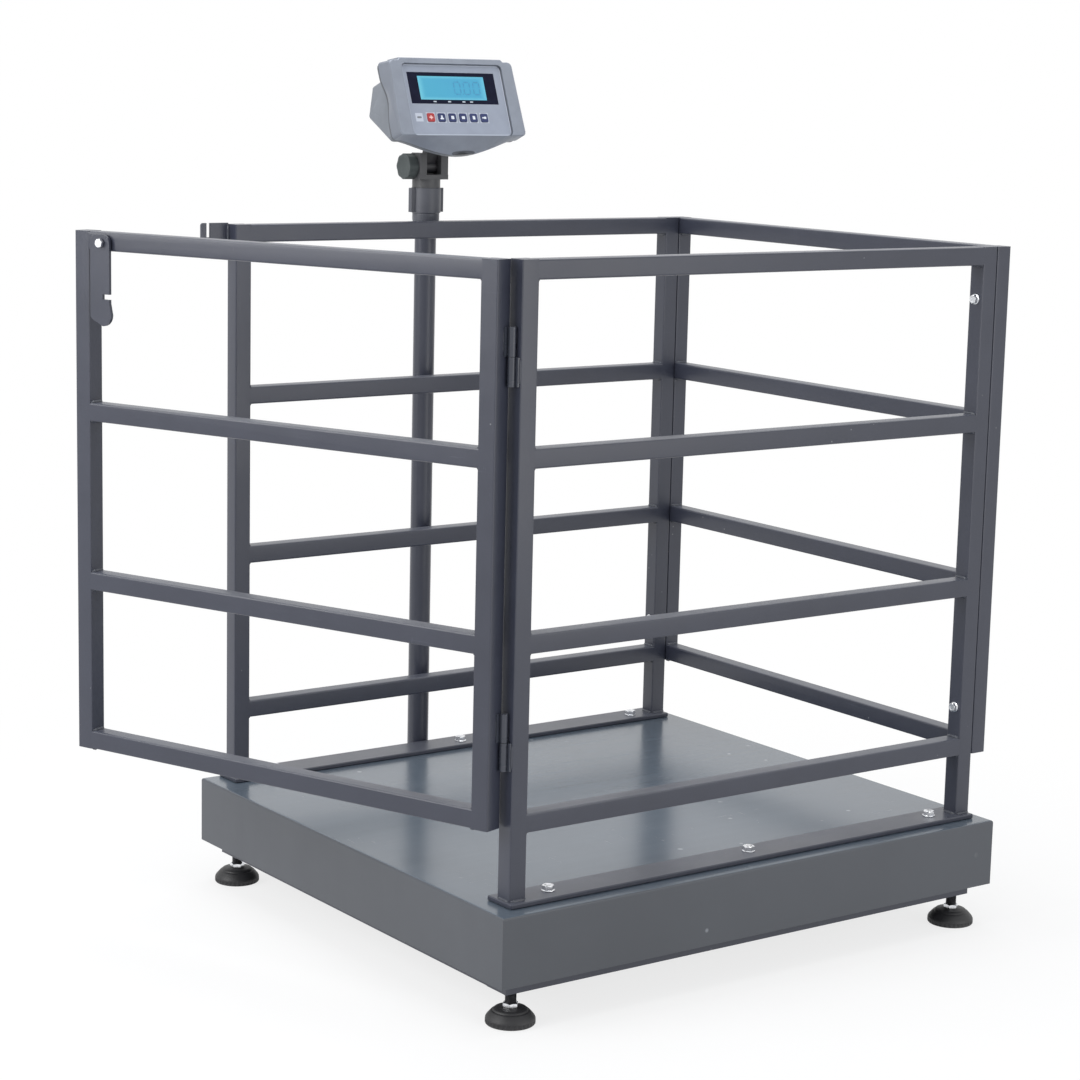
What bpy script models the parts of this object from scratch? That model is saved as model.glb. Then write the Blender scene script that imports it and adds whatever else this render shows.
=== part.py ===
"""Livestock scale: a steel weighing platform on four levelling feet, a railed pen
with a swinging gate, and a tilting weight indicator on a pole.

Metres, +Z up, +X away from the gate and +Y towards the pole. Heights and places below
are drawn from the centre of the platform's top face. The last step stands the middle
of the scale's outer box on the origin.
"""

import math

import bmesh
import bpy
from mathutils import Matrix, Vector

# General clearances
GAP = 0.0003
RUNNING_GAP = 0.0002
SINK = 0.002
JOIN_STEP = 0.0003
ROUND_SIDES = 24
SMALL_SIDES = 16
CORNER_SEGMENTS = 2

# Platform
DECK_LENGTH = 1.000
DECK_WIDTH = 0.912
DECK_PLATE = 0.004
SKIRT_HEIGHT = 0.110
SKIRT_WALL = 0.004
COVER_BEND = 0.004

# Base frame of folded channels under the cover
BASE_INSET_X = 0.026
BASE_INSET_Y = 0.026
BASE_DROP = 0.020
CHANNEL_WALL = 0.004
CHANNEL_FLANGE = 0.050
CROSS_WIDTH = 0.050
CROSS_HEIGHT = 0.045
CROSS_OFFSET = 0.170

# Load cells and their welded pads
CELL_LENGTH = 0.138
CELL_WIDTH = 0.024
CELL_HEIGHT = 0.030
CELL_PAD_LENGTH = 0.040
CELL_PAD_HEIGHT = 0.032
CELL_END = 0.015
CELL_WAIST_RADIUS = 0.010

# Junction box
JUNCTION_LENGTH = 0.110
JUNCTION_WIDTH = 0.075
JUNCTION_HEIGHT = 0.036
JUNCTION_FROM_SIDE = 0.121

# Levelling feet
FOOT_INSET_X = 0.0467
FOOT_INSET_Y = 0.0425
FLOOR_DROP = 0.181
PAD_RADIUS = 0.0380
PAD_RIM_HEIGHT = 0.012
PAD_RIM_CURVE = 0.004
PAD_SHOULDER_RADIUS = 0.030
PAD_SHOULDER_HEIGHT = 0.0195
PAD_CROWN_RADIUS = 0.025
PAD_CROWN_HEIGHT = 0.024
PAD_TOP_RADIUS = 0.014
PAD_HEIGHT = 0.026
PAD_SOCKET_DEPTH = 0.012
STUD_RADIUS = 0.0088
STUD_IN_CELL = 0.024
STUD_HOLE_CLEARANCE = 0.003
LOCKNUT_FLATS = 0.0215
LOCKNUT_HEIGHT = 0.0065

# Pen frames of square tube
TUBE = 0.030
TUBE_WALL = 0.002
TUBE_CORNER = 0.003
PEN_GATE_END_INSET = 0.037
PEN_FAR_END_INSET = 0.021
PEN_FRONT_INSET = 0.038
PEN_REAR_INSET = 0.019
RAIL_BOTTOMS = (0.109, 0.379, 0.652, 0.924)

# Base strips under the side frames, and their bolts
STRIP_WIDTH = 0.060
STRIP_THICKNESS = 0.008
STRIP_EDGE = 0.0015
STRIP_OVERHANG = 0.005
FRONT_STRIP_OUTSET = 0.012
REAR_STRIP_OUTSET = 0.015
STRIP_BOLT_FROM_GATE_END = 0.085
STRIP_BOLT_FROM_FAR_END = 0.073
FRONT_BOLT_INSET = 0.020
REAR_BOLT_INSET = 0.019
STRIP_BOLT_RADIUS = 0.005
STRIP_BOLT_FLATS = 0.017
STRIP_BOLT_HEAD = 0.0065
STRIP_BOLT_FLANGE_RADIUS = 0.0105
STRIP_BOLT_FLANGE = 0.0018
STRIP_BOLT_GRIP = 0.032

# Bolts that hold the end frame to the side frames
CORNER_BOLT_HEIGHTS = (0.190, 0.869)
CORNER_BOLT_RADIUS = 0.004
CORNER_BOLT_FLATS = 0.013
CORNER_BOLT_HEAD = 0.0055
CORNER_BOLT_FLANGE_RADIUS = 0.0085
CORNER_BOLT_FLANGE = 0.0015
CORNER_BOLT_GRIP = 0.045
HOLE_CLEARANCE = 0.0005

# Gate, drawn closed and turned about its hinge axis to its resting angle
HINGE_FROM_POST = 0.0073
HINGE_FROM_FRONT = 0.0129
GATE_END_ROOM = 0.047
GATE_FROM_AXIS = 0.0082
GATE_INNER_FACE = 0.0036
GATE_RAIL_BOTTOMS = (0.118, 0.380, 0.653, 0.924)
GATE_OPEN_DEGREES = 20.8

# Lift-off hinges
HINGE_SPLITS = (0.2495, 0.815)
HINGE_HALF_HEIGHT = 0.043
HINGE_SPLIT_GAP = 0.0006
BARREL_RADIUS = 0.006
PIN_RADIUS = 0.0035
PIN_REACH = 0.034
LEAF_THICKNESS = 0.003
GATE_LEAF_WIDTH = 0.0105
POST_LEAF_WIDTH = 0.0105

# Gate latch: lever, pivot bolt, washer and catch
LATCH_FROM_END = 0.0605
LATCH_UP_RAIL = 0.0132
LEVER_THICKNESS = 0.005
LEVER_FREE_SIDE = 0.022
LEVER_HINGE_SIDE = 0.018
LEVER_TOP = 0.013
LEVER_LENGTH = 0.130
NOTCH_DEPTH = 0.014
NOTCH_SIDE_GAP = 0.0015
WASHER_RADIUS = 0.0105
WASHER_THICKNESS = 0.0012
PIVOT_RADIUS = 0.004
PIVOT_FLATS = 0.013
PIVOT_HEAD = 0.0055
PIVOT_GRIP = 0.016
CATCH_THICKNESS = 0.005
CATCH_REACH = 0.051
CATCH_ABOVE_PIVOT = 0.0188
CATCH_BELOW_PIVOT = 0.0352
CATCH_CORNER = 0.004
SLOT_SIDE_GAP = 0.0009
SLOT_REST_GAP = 0.001

# Pole and its bracket
POLE_X = -0.0375
POLE_FROM_SKIRT = 0.026
POLE_RADIUS = 0.019
POLE_WALL = 0.002
POLE_BOTTOM = -0.092
POLE_TOP = 1.000
BRACKET_PLATE_WIDTH = 0.110
BRACKET_PLATE_THICKNESS = 0.006
BRACKET_TOP = -0.018
BRACKET_BASE = 0.005
BRACKET_RING_WALL = 0.006

# Collar, swivel head and tilt joint at the pole's top
COLLAR_CONE_BELOW = 0.060
COLLAR_BELOW = 0.034
COLLAR_ABOVE = 0.009
COLLAR_RADIUS = 0.0262
COLLAR_RIB_REACH = 0.0335
COLLAR_RIB_THICKNESS = 0.010
COLLAR_LOWER_RADIUS = 0.0240
COLLAR_CONE_RADIUS = 0.0205
NECK_RADIUS = 0.025
NECK_HEIGHT = 0.015
SPIGOT_LENGTH = 0.045
TILT_AXIS_ABOVE = 0.0465
HEAD_HALF_WIDTH = 0.030
HEAD_HALF_DEPTH = 0.025
HEAD_BASE = 0.0085
CHEEK_THICKNESS = 0.015
CHEEK_TOP = 0.024
CHEEK_CROWN = 0.002
CHEEK_BACK_TOP = 0.010
TILT_BARREL_RADIUS = 0.013
ARM_WIDTH = 0.024
ARM_THICKNESS = 0.014
SEAT_WIDTH = 0.070
SEAT_LENGTH = 0.046
SEAT_THICKNESS = 0.004
SEAT_OFFSET = -0.006
SPINDLE_RADIUS = 0.005
SPINDLE_HEAD_RADIUS = 0.009
SPINDLE_HEAD = 0.003
KNOB_RADIUS = 0.0225
KNOB_THICKNESS = 0.018
KNOB_BORE_DEPTH = 0.011
KNOB_LOBES = 8
KNOB_LOBE_DEPTH = 0.0012
KNOB_EDGE = 0.003

# Indicator, drawn upright about the tilt axis and leaned back
INDICATOR_TILT_DEGREES = 20.8
FACE_FORWARD = 0.1286
FACE_UP = 0.0766
SHELL_WALL = 0.003
BORDER_PROUD = 0.004
BORDER_EDGE = 0.0015
FACE_WALL = 0.004
SEAM_SETBACK = 0.024
SEAM_STEP = 0.0015
SEAM_STEP_LENGTH = 0.012
SHOULDER_SETBACK = 0.030
SHOULDER_RUN = 0.003
UNDERSIDE_SETBACK = 0.050
BACK_SETBACK = 0.088
BORDER_HALF_TOP = 0.1280
BORDER_HALF_BOTTOM = 0.1310
BORDER_TOP = 0.0750
RIM_HALF_TOP = 0.1330
RIM_HALF_BOTTOM = 0.1315
RIM_TOP = 0.0800
BACK_HALF_TOP = 0.1105
BACK_HALF_BOTTOM = 0.127
BACK_TOP = 0.0555
BACK_BOTTOM = -0.0075
SIDE_BOTTOM = -0.065
EAR_WIDTH = 0.0220
EAR_RUN = 0.004
EAR_DROP = 0.0045
SHELL_CORNER = 0.008
CHIN_SHOULDER = 0.0165
CHIN_DROP = 0.027
CHIN_POWER = 1.15
CHIN_STEPS = 9

# Panel, keys and display on the indicator's face
PANEL_WIDTH = 0.2055
PANEL_HEIGHT = 0.1275
PANEL_THICKNESS = 0.0012
PANEL_CORNER = 0.008
PANEL_MARGIN = 0.0012
BEZEL_WIDTH = 0.1804
BEZEL_HEIGHT = 0.0562
BEZEL_CENTRE = (-0.0036, 0.0216)
BEZEL_DEPTH = 0.0022
LCD_WIDTH = 0.1378
LCD_HEIGHT = 0.0426
LCD_CENTRE = (-0.0046, 0.0222)
LCD_RECESS = 0.0008
KEY_SIZE = 0.0152
KEY_CORNER = 0.003
KEY_ROW_HEIGHT = -0.0318
KEY_FIRST_X = -0.0608
KEY_PITCH = 0.0222
KEY_COUNT = 6
KEY_PROUD = 0.0010
KEY_TRAVEL = 0.0015
KEY_GAP = 0.0004
BOARD_SETBACK = 0.0125
BOARD_THICKNESS = 0.0016
BOARD_WIDTH = 0.176
BOARD_HEIGHT = 0.108
BOSS_RADIUS = 0.004
BOSS_INSET = 0.007

# Worked out from the sizes above
DECK_UNDERSIDE = -DECK_PLATE - GAP
BASE_BOTTOM = -SKIRT_HEIGHT - BASE_DROP
BASE_HALF_X = DECK_LENGTH / 2 - BASE_INSET_X
BASE_HALF_Y = DECK_WIDTH / 2 - BASE_INSET_Y
FOOT_X = DECK_LENGTH / 2 - FOOT_INSET_X
FOOT_Y = DECK_WIDTH / 2 - FOOT_INSET_Y
CELL_TOP = DECK_UNDERSIDE - CHANNEL_WALL - CELL_PAD_HEIGHT - GAP
JUNCTION_Y = DECK_WIDTH / 2 - JUNCTION_FROM_SIDE
PEN_GATE_END = PEN_GATE_END_INSET - DECK_LENGTH / 2
PEN_FAR_END = DECK_LENGTH / 2 - PEN_FAR_END_INSET
PEN_FRONT = PEN_FRONT_INSET - DECK_WIDTH / 2
PEN_REAR = DECK_WIDTH / 2 - PEN_REAR_INSET
PEN_LENGTH = PEN_FAR_END - PEN_GATE_END
PEN_WIDTH = PEN_REAR - PEN_FRONT
POST_TOP = RAIL_BOTTOMS[-1] + TUBE
FIRST_STRIP_BOLT = PEN_GATE_END + STRIP_BOLT_FROM_GATE_END
LAST_STRIP_BOLT = PEN_FAR_END - STRIP_BOLT_FROM_FAR_END
STRIP_BOLT_X = (FIRST_STRIP_BOLT, (FIRST_STRIP_BOLT + LAST_STRIP_BOLT) / 2,
                LAST_STRIP_BOLT)
FRONT_BOLT_Y = PEN_FRONT + FRONT_BOLT_INSET
REAR_BOLT_Y = PEN_REAR - REAR_BOLT_INSET
HINGE_AXIS = Vector((PEN_GATE_END - HINGE_FROM_POST, PEN_FRONT + HINGE_FROM_FRONT, 0))
GATE_OUTER_FACE = GATE_INNER_FACE - TUBE
GATE_WIDTH = PEN_WIDTH - GATE_END_ROOM
LATCH_PIVOT_HEIGHT = GATE_RAIL_BOTTOMS[-1] + LATCH_UP_RAIL
CATCH_TOP = LATCH_PIVOT_HEIGHT + CATCH_ABOVE_PIVOT
CATCH_BOTTOM = LATCH_PIVOT_HEIGHT - CATCH_BELOW_PIVOT
POLE_Y = DECK_WIDTH / 2 + POLE_FROM_SKIRT
TILT_AXIS = Vector((POLE_X, POLE_Y, POLE_TOP + TILT_AXIS_ABOVE))
COLLAR_CONE_BOTTOM = POLE_TOP - COLLAR_CONE_BELOW
COLLAR_BOTTOM = POLE_TOP - COLLAR_BELOW
COLLAR_TOP = POLE_TOP + COLLAR_ABOVE
NECK_BOTTOM = COLLAR_TOP + GAP
NECK_TOP = NECK_BOTTOM + NECK_HEIGHT
CHEEK_INNER = HEAD_HALF_WIDTH - CHEEK_THICKNESS
STEP_SETBACK = SEAM_SETBACK + SEAM_STEP_LENGTH
KEY_DEPTH = BOARD_SETBACK - 2 * KEY_TRAVEL


class Finish:
    """A named material with its colour, roughness and metallic value."""

    def __init__(self, name, colour, roughness, metallic=0.0):
        self.material = bpy.data.materials.new(name)
        self.material.use_nodes = True
        shader = self.material.node_tree.nodes["Principled BSDF"]
        shader.inputs["Base Color"].default_value = (*colour, 1.0)
        shader.inputs["Roughness"].default_value = roughness
        shader.inputs["Metallic"].default_value = metallic


def clear_scene():
    for item in list(bpy.data.objects):
        bpy.data.objects.remove(item, do_unlink=True)


def make_collections():
    parts = bpy.data.collections.new("livestock_scale")
    bpy.context.scene.collection.children.link(parts)
    return parts


def new_object(name, build):
    """An object whose mesh the function build fills, as a bmesh."""
    mesh = bpy.data.meshes.new(name)
    shape = bmesh.new()
    build(shape)
    shape.to_mesh(mesh)
    shape.free()
    item = bpy.data.objects.new(name, mesh)
    PARTS.objects.link(item)
    return item


def box(name, low, high, round_along=None, radius=0.0, segments=CORNER_SEGMENTS):
    """A box from its two corners, with the edges along one axis, or all, rounded."""
    low, high = Vector(low), Vector(high)

    def build(shape):
        bmesh.ops.create_cube(shape, size=1.0)
        size = high - low
        bmesh.ops.scale(shape, vec=size, verts=shape.verts)
        bmesh.ops.translate(shape, vec=(low + high) / 2, verts=shape.verts)
        if radius <= 0:
            return
        edges = shape.edges[:]
        if round_along is not None:
            edges = [edge for edge in edges if runs_along(edge, round_along)]
        bmesh.ops.bevel(shape, geom=edges, offset=radius, segments=segments,
                        profile=0.5, affect="EDGES")

    return new_object(name, build)


def runs_along(edge, axis):
    direction = edge.verts[1].co - edge.verts[0].co
    return abs(direction[axis]) > 0.99 * direction.length


def cylinder(name, radius, low, high, centre, axis=2, sides=ROUND_SIDES, turn=0.0):
    """A cylinder along an axis from low to high, through the point centre."""
    turns = {0: Matrix.Rotation(math.radians(90), 4, "Y"),
             1: Matrix.Rotation(math.radians(-90), 4, "X"),
             2: Matrix.Identity(4)}

    def build(shape):
        bmesh.ops.create_cone(shape, cap_ends=True, segments=sides, radius1=radius,
                              radius2=radius, depth=high - low,
                              matrix=Matrix.Rotation(turn, 4, "Z"))
        bmesh.ops.transform(shape, matrix=turns[axis], verts=shape.verts)
        place = Vector(centre)
        place[axis] = (low + high) / 2
        bmesh.ops.translate(shape, vec=place, verts=shape.verts)

    item = new_object(name, build)
    smooth(item)
    return item


def hexagon(name, flats, low, high, centre, axis=2):
    """A hexagonal prism given across its flats."""
    item = cylinder(name, flats / 2 / math.cos(math.radians(30)), low, high, centre,
                    axis, sides=6)
    item.data.shade_flat()
    return item


def turned(name, profile, centre, sides=ROUND_SIDES):
    """A turned solid from (radius, height) points that run down its outer side."""
    mesh = bpy.data.meshes.new(name)
    points = [(radius, 0.0, height) for radius, height in profile]
    edges = [(i, i + 1) for i in range(len(points) - 1)]
    if profile[0][0] > 0:
        edges.append((len(points) - 1, 0))
    mesh.from_pydata(points, edges, [])
    item = bpy.data.objects.new(name, mesh)
    PARTS.objects.link(item)
    screw = item.modifiers.new("Turn", "SCREW")
    screw.steps = sides
    screw.render_steps = sides
    screw.use_merge_vertices = True
    screw.merge_threshold = 0.00001
    apply_modifiers(item)
    item.data.transform(Matrix.Translation(Vector((centre[0], centre[1], 0))))
    smooth(item)
    return item


def plate(name, outline, low, high, axis):
    """A flat outline of points in the two other axes, given a thickness along axis."""

    def build(shape):
        corners = []
        for first, second in outline:
            corner = [first, second]
            corner.insert(axis, low)
            corners.append(shape.verts.new(corner))
        face = shape.faces.new(corners)
        grown = bmesh.ops.extrude_face_region(shape, geom=[face])
        shift = Vector((0, 0, 0))
        shift[axis] = high - low
        moved = [v for v in grown["geom"] if isinstance(v, bmesh.types.BMVert)]
        bmesh.ops.translate(shape, vec=shift, verts=moved)
        bmesh.ops.recalc_face_normals(shape, faces=shape.faces)

    return new_object(name, build)


def arc(centre, radius, start, end, steps):
    """Points of an arc, with its angles in degrees."""
    points = []
    for i in range(steps + 1):
        angle = math.radians(start + (end - start) * i / steps)
        points.append((centre[0] + radius * math.cos(angle),
                       centre[1] + radius * math.sin(angle)))
    return points


def smooth(item, degrees=35):
    item.data.shade_smooth()
    item.data.set_sharp_from_angle(angle=math.radians(degrees))


def apply_modifiers(item):
    graph = bpy.context.evaluated_depsgraph_get()
    mesh = bpy.data.meshes.new_from_object(item.evaluated_get(graph))
    item.modifiers.clear()
    old = item.data
    item.data = mesh
    bpy.data.meshes.remove(old)


def combine(item, other, operation):
    """Joins other to item, or cuts it out of item, and removes other."""
    modifier = item.modifiers.new(operation.title(), "BOOLEAN")
    modifier.operation = operation
    modifier.solver = "EXACT"
    modifier.object = other
    apply_modifiers(item)
    bpy.data.objects.remove(other, do_unlink=True)


def join(item, *others):
    for other in others:
        combine(item, other, "UNION")
    return item


def cut(item, *cutters):
    for cutter in cutters:
        combine(item, cutter, "DIFFERENCE")
    return item


def finish_as(item, finish):
    item.data.materials.clear()
    item.data.materials.append(finish.material)
    return item


def set_origin(item, point):
    """Moves the object's origin to a point and leaves its shape in place."""
    item.data.transform(Matrix.Translation(-Vector(point)))
    item.location = Vector(point)
    return item


def pivot(name, place, turn=(0.0, 0.0, 0.0)):
    """An empty on a joint's axis."""
    empty = bpy.data.objects.new(name, None)
    empty.location = place
    empty.rotation_euler = turn
    empty.empty_display_size = 0.05
    PARTS.objects.link(empty)
    return empty


def hang_on(empty, *items):
    for item in items:
        item.parent = empty


def make_finishes():
    return {
        "frame_paint": Finish("slate_frame_paint", (0.085, 0.095, 0.120), 0.42),
        "deck_paint": Finish("slate_deck_paint", (0.130, 0.140, 0.160), 0.30),
        "zinc": Finish("bright_zinc", (0.80, 0.81, 0.83), 0.25, 1.0),
        "cell_alloy": Finish("cell_aluminium", (0.62, 0.63, 0.65), 0.35, 1.0),
        "stud_steel": Finish("blackened_stud_steel", (0.030, 0.031, 0.034), 0.40, 0.8),
        "black_rubber": Finish("black_foot_rubber", (0.018, 0.018, 0.020), 0.60),
        "black_plastic": Finish("black_joint_plastic", (0.030, 0.031, 0.034), 0.45),
        "knob_plastic": Finish("grey_knob_plastic", (0.060, 0.070, 0.070), 0.50),
        "shell_plastic": Finish("indicator_shell_plastic", (0.28, 0.31, 0.36), 0.45),
        "panel_film": Finish("keypad_film", (0.34, 0.37, 0.44), 0.35),
        "display": Finish("blue_display", (0.07, 0.42, 0.66), 0.15),
        "red_key": Finish("red_key", (0.62, 0.06, 0.06), 0.40),
        "navy_key": Finish("navy_key", (0.03, 0.05, 0.20), 0.40),
        "board": Finish("green_board", (0.02, 0.12, 0.05), 0.50),
    }


def platform_cover():
    """The deck plate with its folded skirt, open underneath."""
    half_x, half_y = DECK_LENGTH / 2, DECK_WIDTH / 2
    cover = box("platform_cover", (-half_x, -half_y, -SKIRT_HEIGHT), (half_x, half_y, 0))
    top = [edge for edge in cover.data.edges
           if all(cover.data.vertices[v].co.z > -SINK for v in edge.vertices)]
    weights = cover.data.attributes.new("bevel_weight_edge", "FLOAT", "EDGE")
    for edge in top:
        weights.data[edge.index].value = 1.0
    bevel = cover.modifiers.new("Fold", "BEVEL")
    bevel.limit_method = "WEIGHT"
    bevel.width = COVER_BEND
    bevel.segments = 3
    apply_modifiers(cover)
    hollow = box("cover_hollow",
                 (SKIRT_WALL - half_x, SKIRT_WALL - half_y, -SKIRT_HEIGHT - SINK),
                 (half_x - SKIRT_WALL, half_y - SKIRT_WALL, -DECK_PLATE))
    cut(cover, hollow, *strip_bolt_holes(-DECK_PLATE - SINK, SINK))
    return finish_as(cover, FINISHES["deck_paint"])


def strip_bolt_places():
    return [(x, y) for y in (FRONT_BOLT_Y, REAR_BOLT_Y) for x in STRIP_BOLT_X]


def strip_bolt_holes(low, high, rows=(FRONT_BOLT_Y, REAR_BOLT_Y)):
    radius = STRIP_BOLT_RADIUS + HOLE_CLEARANCE
    return [cylinder("bolt_hole", radius, low, high, (x, y, 0), sides=SMALL_SIDES)
            for x, y in strip_bolt_places() if y in rows]


def channel(name, start, end, web_at, inward, along, lower=0.0):
    """A folded channel: an outer web with a top and a bottom flange turned inward.

    along is the axis it runs on, web_at its outer face on the other axis, inward the
    sign of the flanges' direction, and lower brings both flanges towards its middle.
    """
    across = 1 - along
    top, bottom = DECK_UNDERSIDE - lower, BASE_BOTTOM + lower

    def piece(first, second, low, high):
        corner_a, corner_b = Vector((0, 0, low)), Vector((0, 0, high))
        corner_a[along], corner_b[along] = start, end
        corner_a[across], corner_b[across] = sorted((web_at + inward * first,
                                                     web_at + inward * second))
        return box(name, corner_a, corner_b)

    web = piece(0, CHANNEL_WALL, bottom, top)
    lap = CHANNEL_WALL / 2
    upper = piece(lap, CHANNEL_FLANGE, top - CHANNEL_WALL, top - JOIN_STEP)
    under = piece(lap, CHANNEL_FLANGE, bottom + JOIN_STEP, bottom + CHANNEL_WALL)
    return join(web, upper, under)


def base_frame():
    """The welded weighing frame: four channels, two cross members, four cell pads."""
    frame = channel("base_frame", -BASE_HALF_X, BASE_HALF_X, -BASE_HALF_Y, 1, 0)
    join(frame, *end_channels())
    join(frame, channel("rear_channel", -BASE_HALF_X, BASE_HALF_X, BASE_HALF_Y, -1, 0))
    reach = BASE_HALF_Y - CHANNEL_WALL / 2
    top = DECK_UNDERSIDE - 2 * JOIN_STEP
    for side in (-1, 1):
        middle = side * CROSS_OFFSET
        cross = box("cross_member", (middle - CROSS_WIDTH / 2, -reach, top - CROSS_HEIGHT),
                    (middle + CROSS_WIDTH / 2, reach, top))
        hollow = box("cross_hollow",
                     (middle - CROSS_WIDTH / 2 + CHANNEL_WALL, -reach + CHANNEL_FLANGE,
                      top - CROSS_HEIGHT - SINK),
                     (middle + CROSS_WIDTH / 2 - CHANNEL_WALL, reach - CHANNEL_FLANGE,
                      top - CHANNEL_WALL))
        join(frame, cut(cross, hollow))
    for side_x, side_y in corners():
        inner = side_x * (FOOT_X + CELL_END - CELL_LENGTH)
        outer = inner + side_x * CELL_PAD_LENGTH
        middle_y = side_y * FOOT_Y
        pad = box("cell_pad",
                  (min(inner, outer), middle_y - CELL_WIDTH / 2 + SINK / 4,
                   CELL_TOP + GAP),
                  (max(inner, outer), middle_y + CELL_WIDTH / 2 - SINK / 4,
                   DECK_UNDERSIDE - CHANNEL_WALL / 2))
        join(frame, pad)
        hole = cylinder("stud_hole", STUD_RADIUS + STUD_HOLE_CLEARANCE,
                        BASE_BOTTOM - SINK, BASE_BOTTOM + 2 * CHANNEL_WALL,
                        (side_x * FOOT_X, middle_y, 0))
        cut(frame, hole)
    cut(frame, *strip_bolt_holes(DECK_UNDERSIDE - CHANNEL_WALL - SINK,
                                 DECK_UNDERSIDE + SINK))
    return finish_as(frame, FINISHES["frame_paint"])


def end_channels():
    reach = BASE_HALF_Y - CHANNEL_WALL / 2
    return [channel("end_channel", -reach, reach, side * BASE_HALF_X, -side, 1,
                    lower=CHANNEL_WALL / 4) for side in (-1, 1)]


def corners():
    return [(-1, -1), (1, -1), (-1, 1), (1, 1)]


def corner_name(side_x, side_y):
    return ("front" if side_y < 0 else "rear") + ("_gate_end" if side_x < 0 else "_far_end")


def load_cell(side_x, side_y):
    """A shear beam with a waisted middle, seated on its pad, with the stud's bore."""
    outer = side_x * (FOOT_X + CELL_END)
    inner = outer - side_x * CELL_LENGTH
    middle_y = side_y * FOOT_Y
    beam = box("load_cell_" + corner_name(side_x, side_y),
               (min(inner, outer), middle_y - CELL_WIDTH / 2, CELL_TOP - CELL_HEIGHT),
               (max(inner, outer), middle_y + CELL_WIDTH / 2, CELL_TOP))
    centre = ((inner + outer) / 2, middle_y, CELL_TOP - CELL_HEIGHT / 2)
    waist = cylinder("cell_waist", CELL_WAIST_RADIUS, middle_y - CELL_WIDTH,
                     middle_y + CELL_WIDTH, centre, axis=1)
    bore = cylinder("cell_bore", STUD_RADIUS + GAP, CELL_TOP - CELL_HEIGHT - SINK,
                    CELL_TOP + SINK, (side_x * FOOT_X, middle_y, 0))
    return finish_as(cut(beam, waist, bore), FINISHES["cell_alloy"])


def junction_box():
    """The summing box for the four cells, hung under the deck."""
    item = box("junction_box",
               (-JUNCTION_LENGTH / 2, JUNCTION_Y - JUNCTION_WIDTH / 2,
                DECK_UNDERSIDE - JUNCTION_HEIGHT),
               (JUNCTION_LENGTH / 2, JUNCTION_Y + JUNCTION_WIDTH / 2, DECK_UNDERSIDE),
               round_along=2, radius=0.006)
    return finish_as(item, FINISHES["shell_plastic"])


def levelling_foot(side_x, side_y):
    """The rubber pad, the threaded stud and its locknut, about the foot's own axis."""
    place = corner_name(side_x, side_y)
    centre = (side_x * FOOT_X, side_y * FOOT_Y, 0)
    floor = -FLOOR_DROP
    socket_floor = floor + PAD_HEIGHT - PAD_SOCKET_DEPTH
    rim = PAD_RADIUS - PAD_RIM_CURVE
    edge = arc((rim, floor + PAD_RIM_HEIGHT - PAD_RIM_CURVE), PAD_RIM_CURVE, 70, 0, 3)
    socket = STUD_RADIUS + GAP
    pad = turned("foot_pad_" + place,
                 [(socket, floor + PAD_HEIGHT), (PAD_TOP_RADIUS, floor + PAD_HEIGHT),
                  (PAD_CROWN_RADIUS, floor + PAD_CROWN_HEIGHT),
                  (PAD_SHOULDER_RADIUS, floor + PAD_SHOULDER_HEIGHT)]
                 + edge + [(PAD_RADIUS - 0.001, floor), (0, floor), (0, socket_floor),
                           (socket, socket_floor)], centre)
    nut_bottom = floor + PAD_HEIGHT + GAP
    stud = cylinder("foot_stud_" + place, STUD_RADIUS, socket_floor + GAP,
                    CELL_TOP - CELL_HEIGHT + STUD_IN_CELL, centre)
    nut = hexagon("locknut_" + place, LOCKNUT_FLATS, nut_bottom,
                  nut_bottom + LOCKNUT_HEIGHT, centre)
    cut(nut, cylinder("nut_bore", STUD_RADIUS + GAP, nut_bottom - SINK,
                      nut_bottom + LOCKNUT_HEIGHT + SINK, centre))
    for item, finish in ((pad, "black_rubber"), (stud, "stud_steel"), (nut, "zinc")):
        finish_as(set_origin(item, centre), FINISHES[finish])


def tube_frame(name, length, bottom, rail_bottoms):
    """A welded frame of square tube: two posts and the rails between them.

    It stands in the XZ plane from X 0 to length, with its thickness from Y 0 to TUBE,
    hollow all through, and open at the posts' lower ends.
    """
    posts = [box(name, (start, 0, bottom), (start + TUBE, TUBE, POST_TOP),
                 round_along=2, radius=TUBE_CORNER) for start in (0, length - TUBE)]
    lap = TUBE_CORNER + SINK
    rails = [box("rail", (TUBE - lap, JOIN_STEP, height + JOIN_STEP),
                 (length - TUBE + lap, TUBE - JOIN_STEP, height + TUBE - JOIN_STEP),
                 round_along=0, radius=TUBE_CORNER) for height in rail_bottoms]
    frame = join(posts[0], *rails, posts[1])
    for start in (0, length - TUBE):
        cut(frame, box("post_bore", (start + TUBE_WALL, TUBE_WALL, bottom - SINK),
                       (start + TUBE - TUBE_WALL, TUBE - TUBE_WALL,
                        POST_TOP - TUBE_WALL)))
    wall = TUBE_WALL + JOIN_STEP
    for height in rail_bottoms:
        cut(frame, box("rail_bore", (TUBE / 2, wall, height + wall),
                       (length - TUBE / 2, TUBE - wall, height + TUBE - wall)))
    return frame


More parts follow.
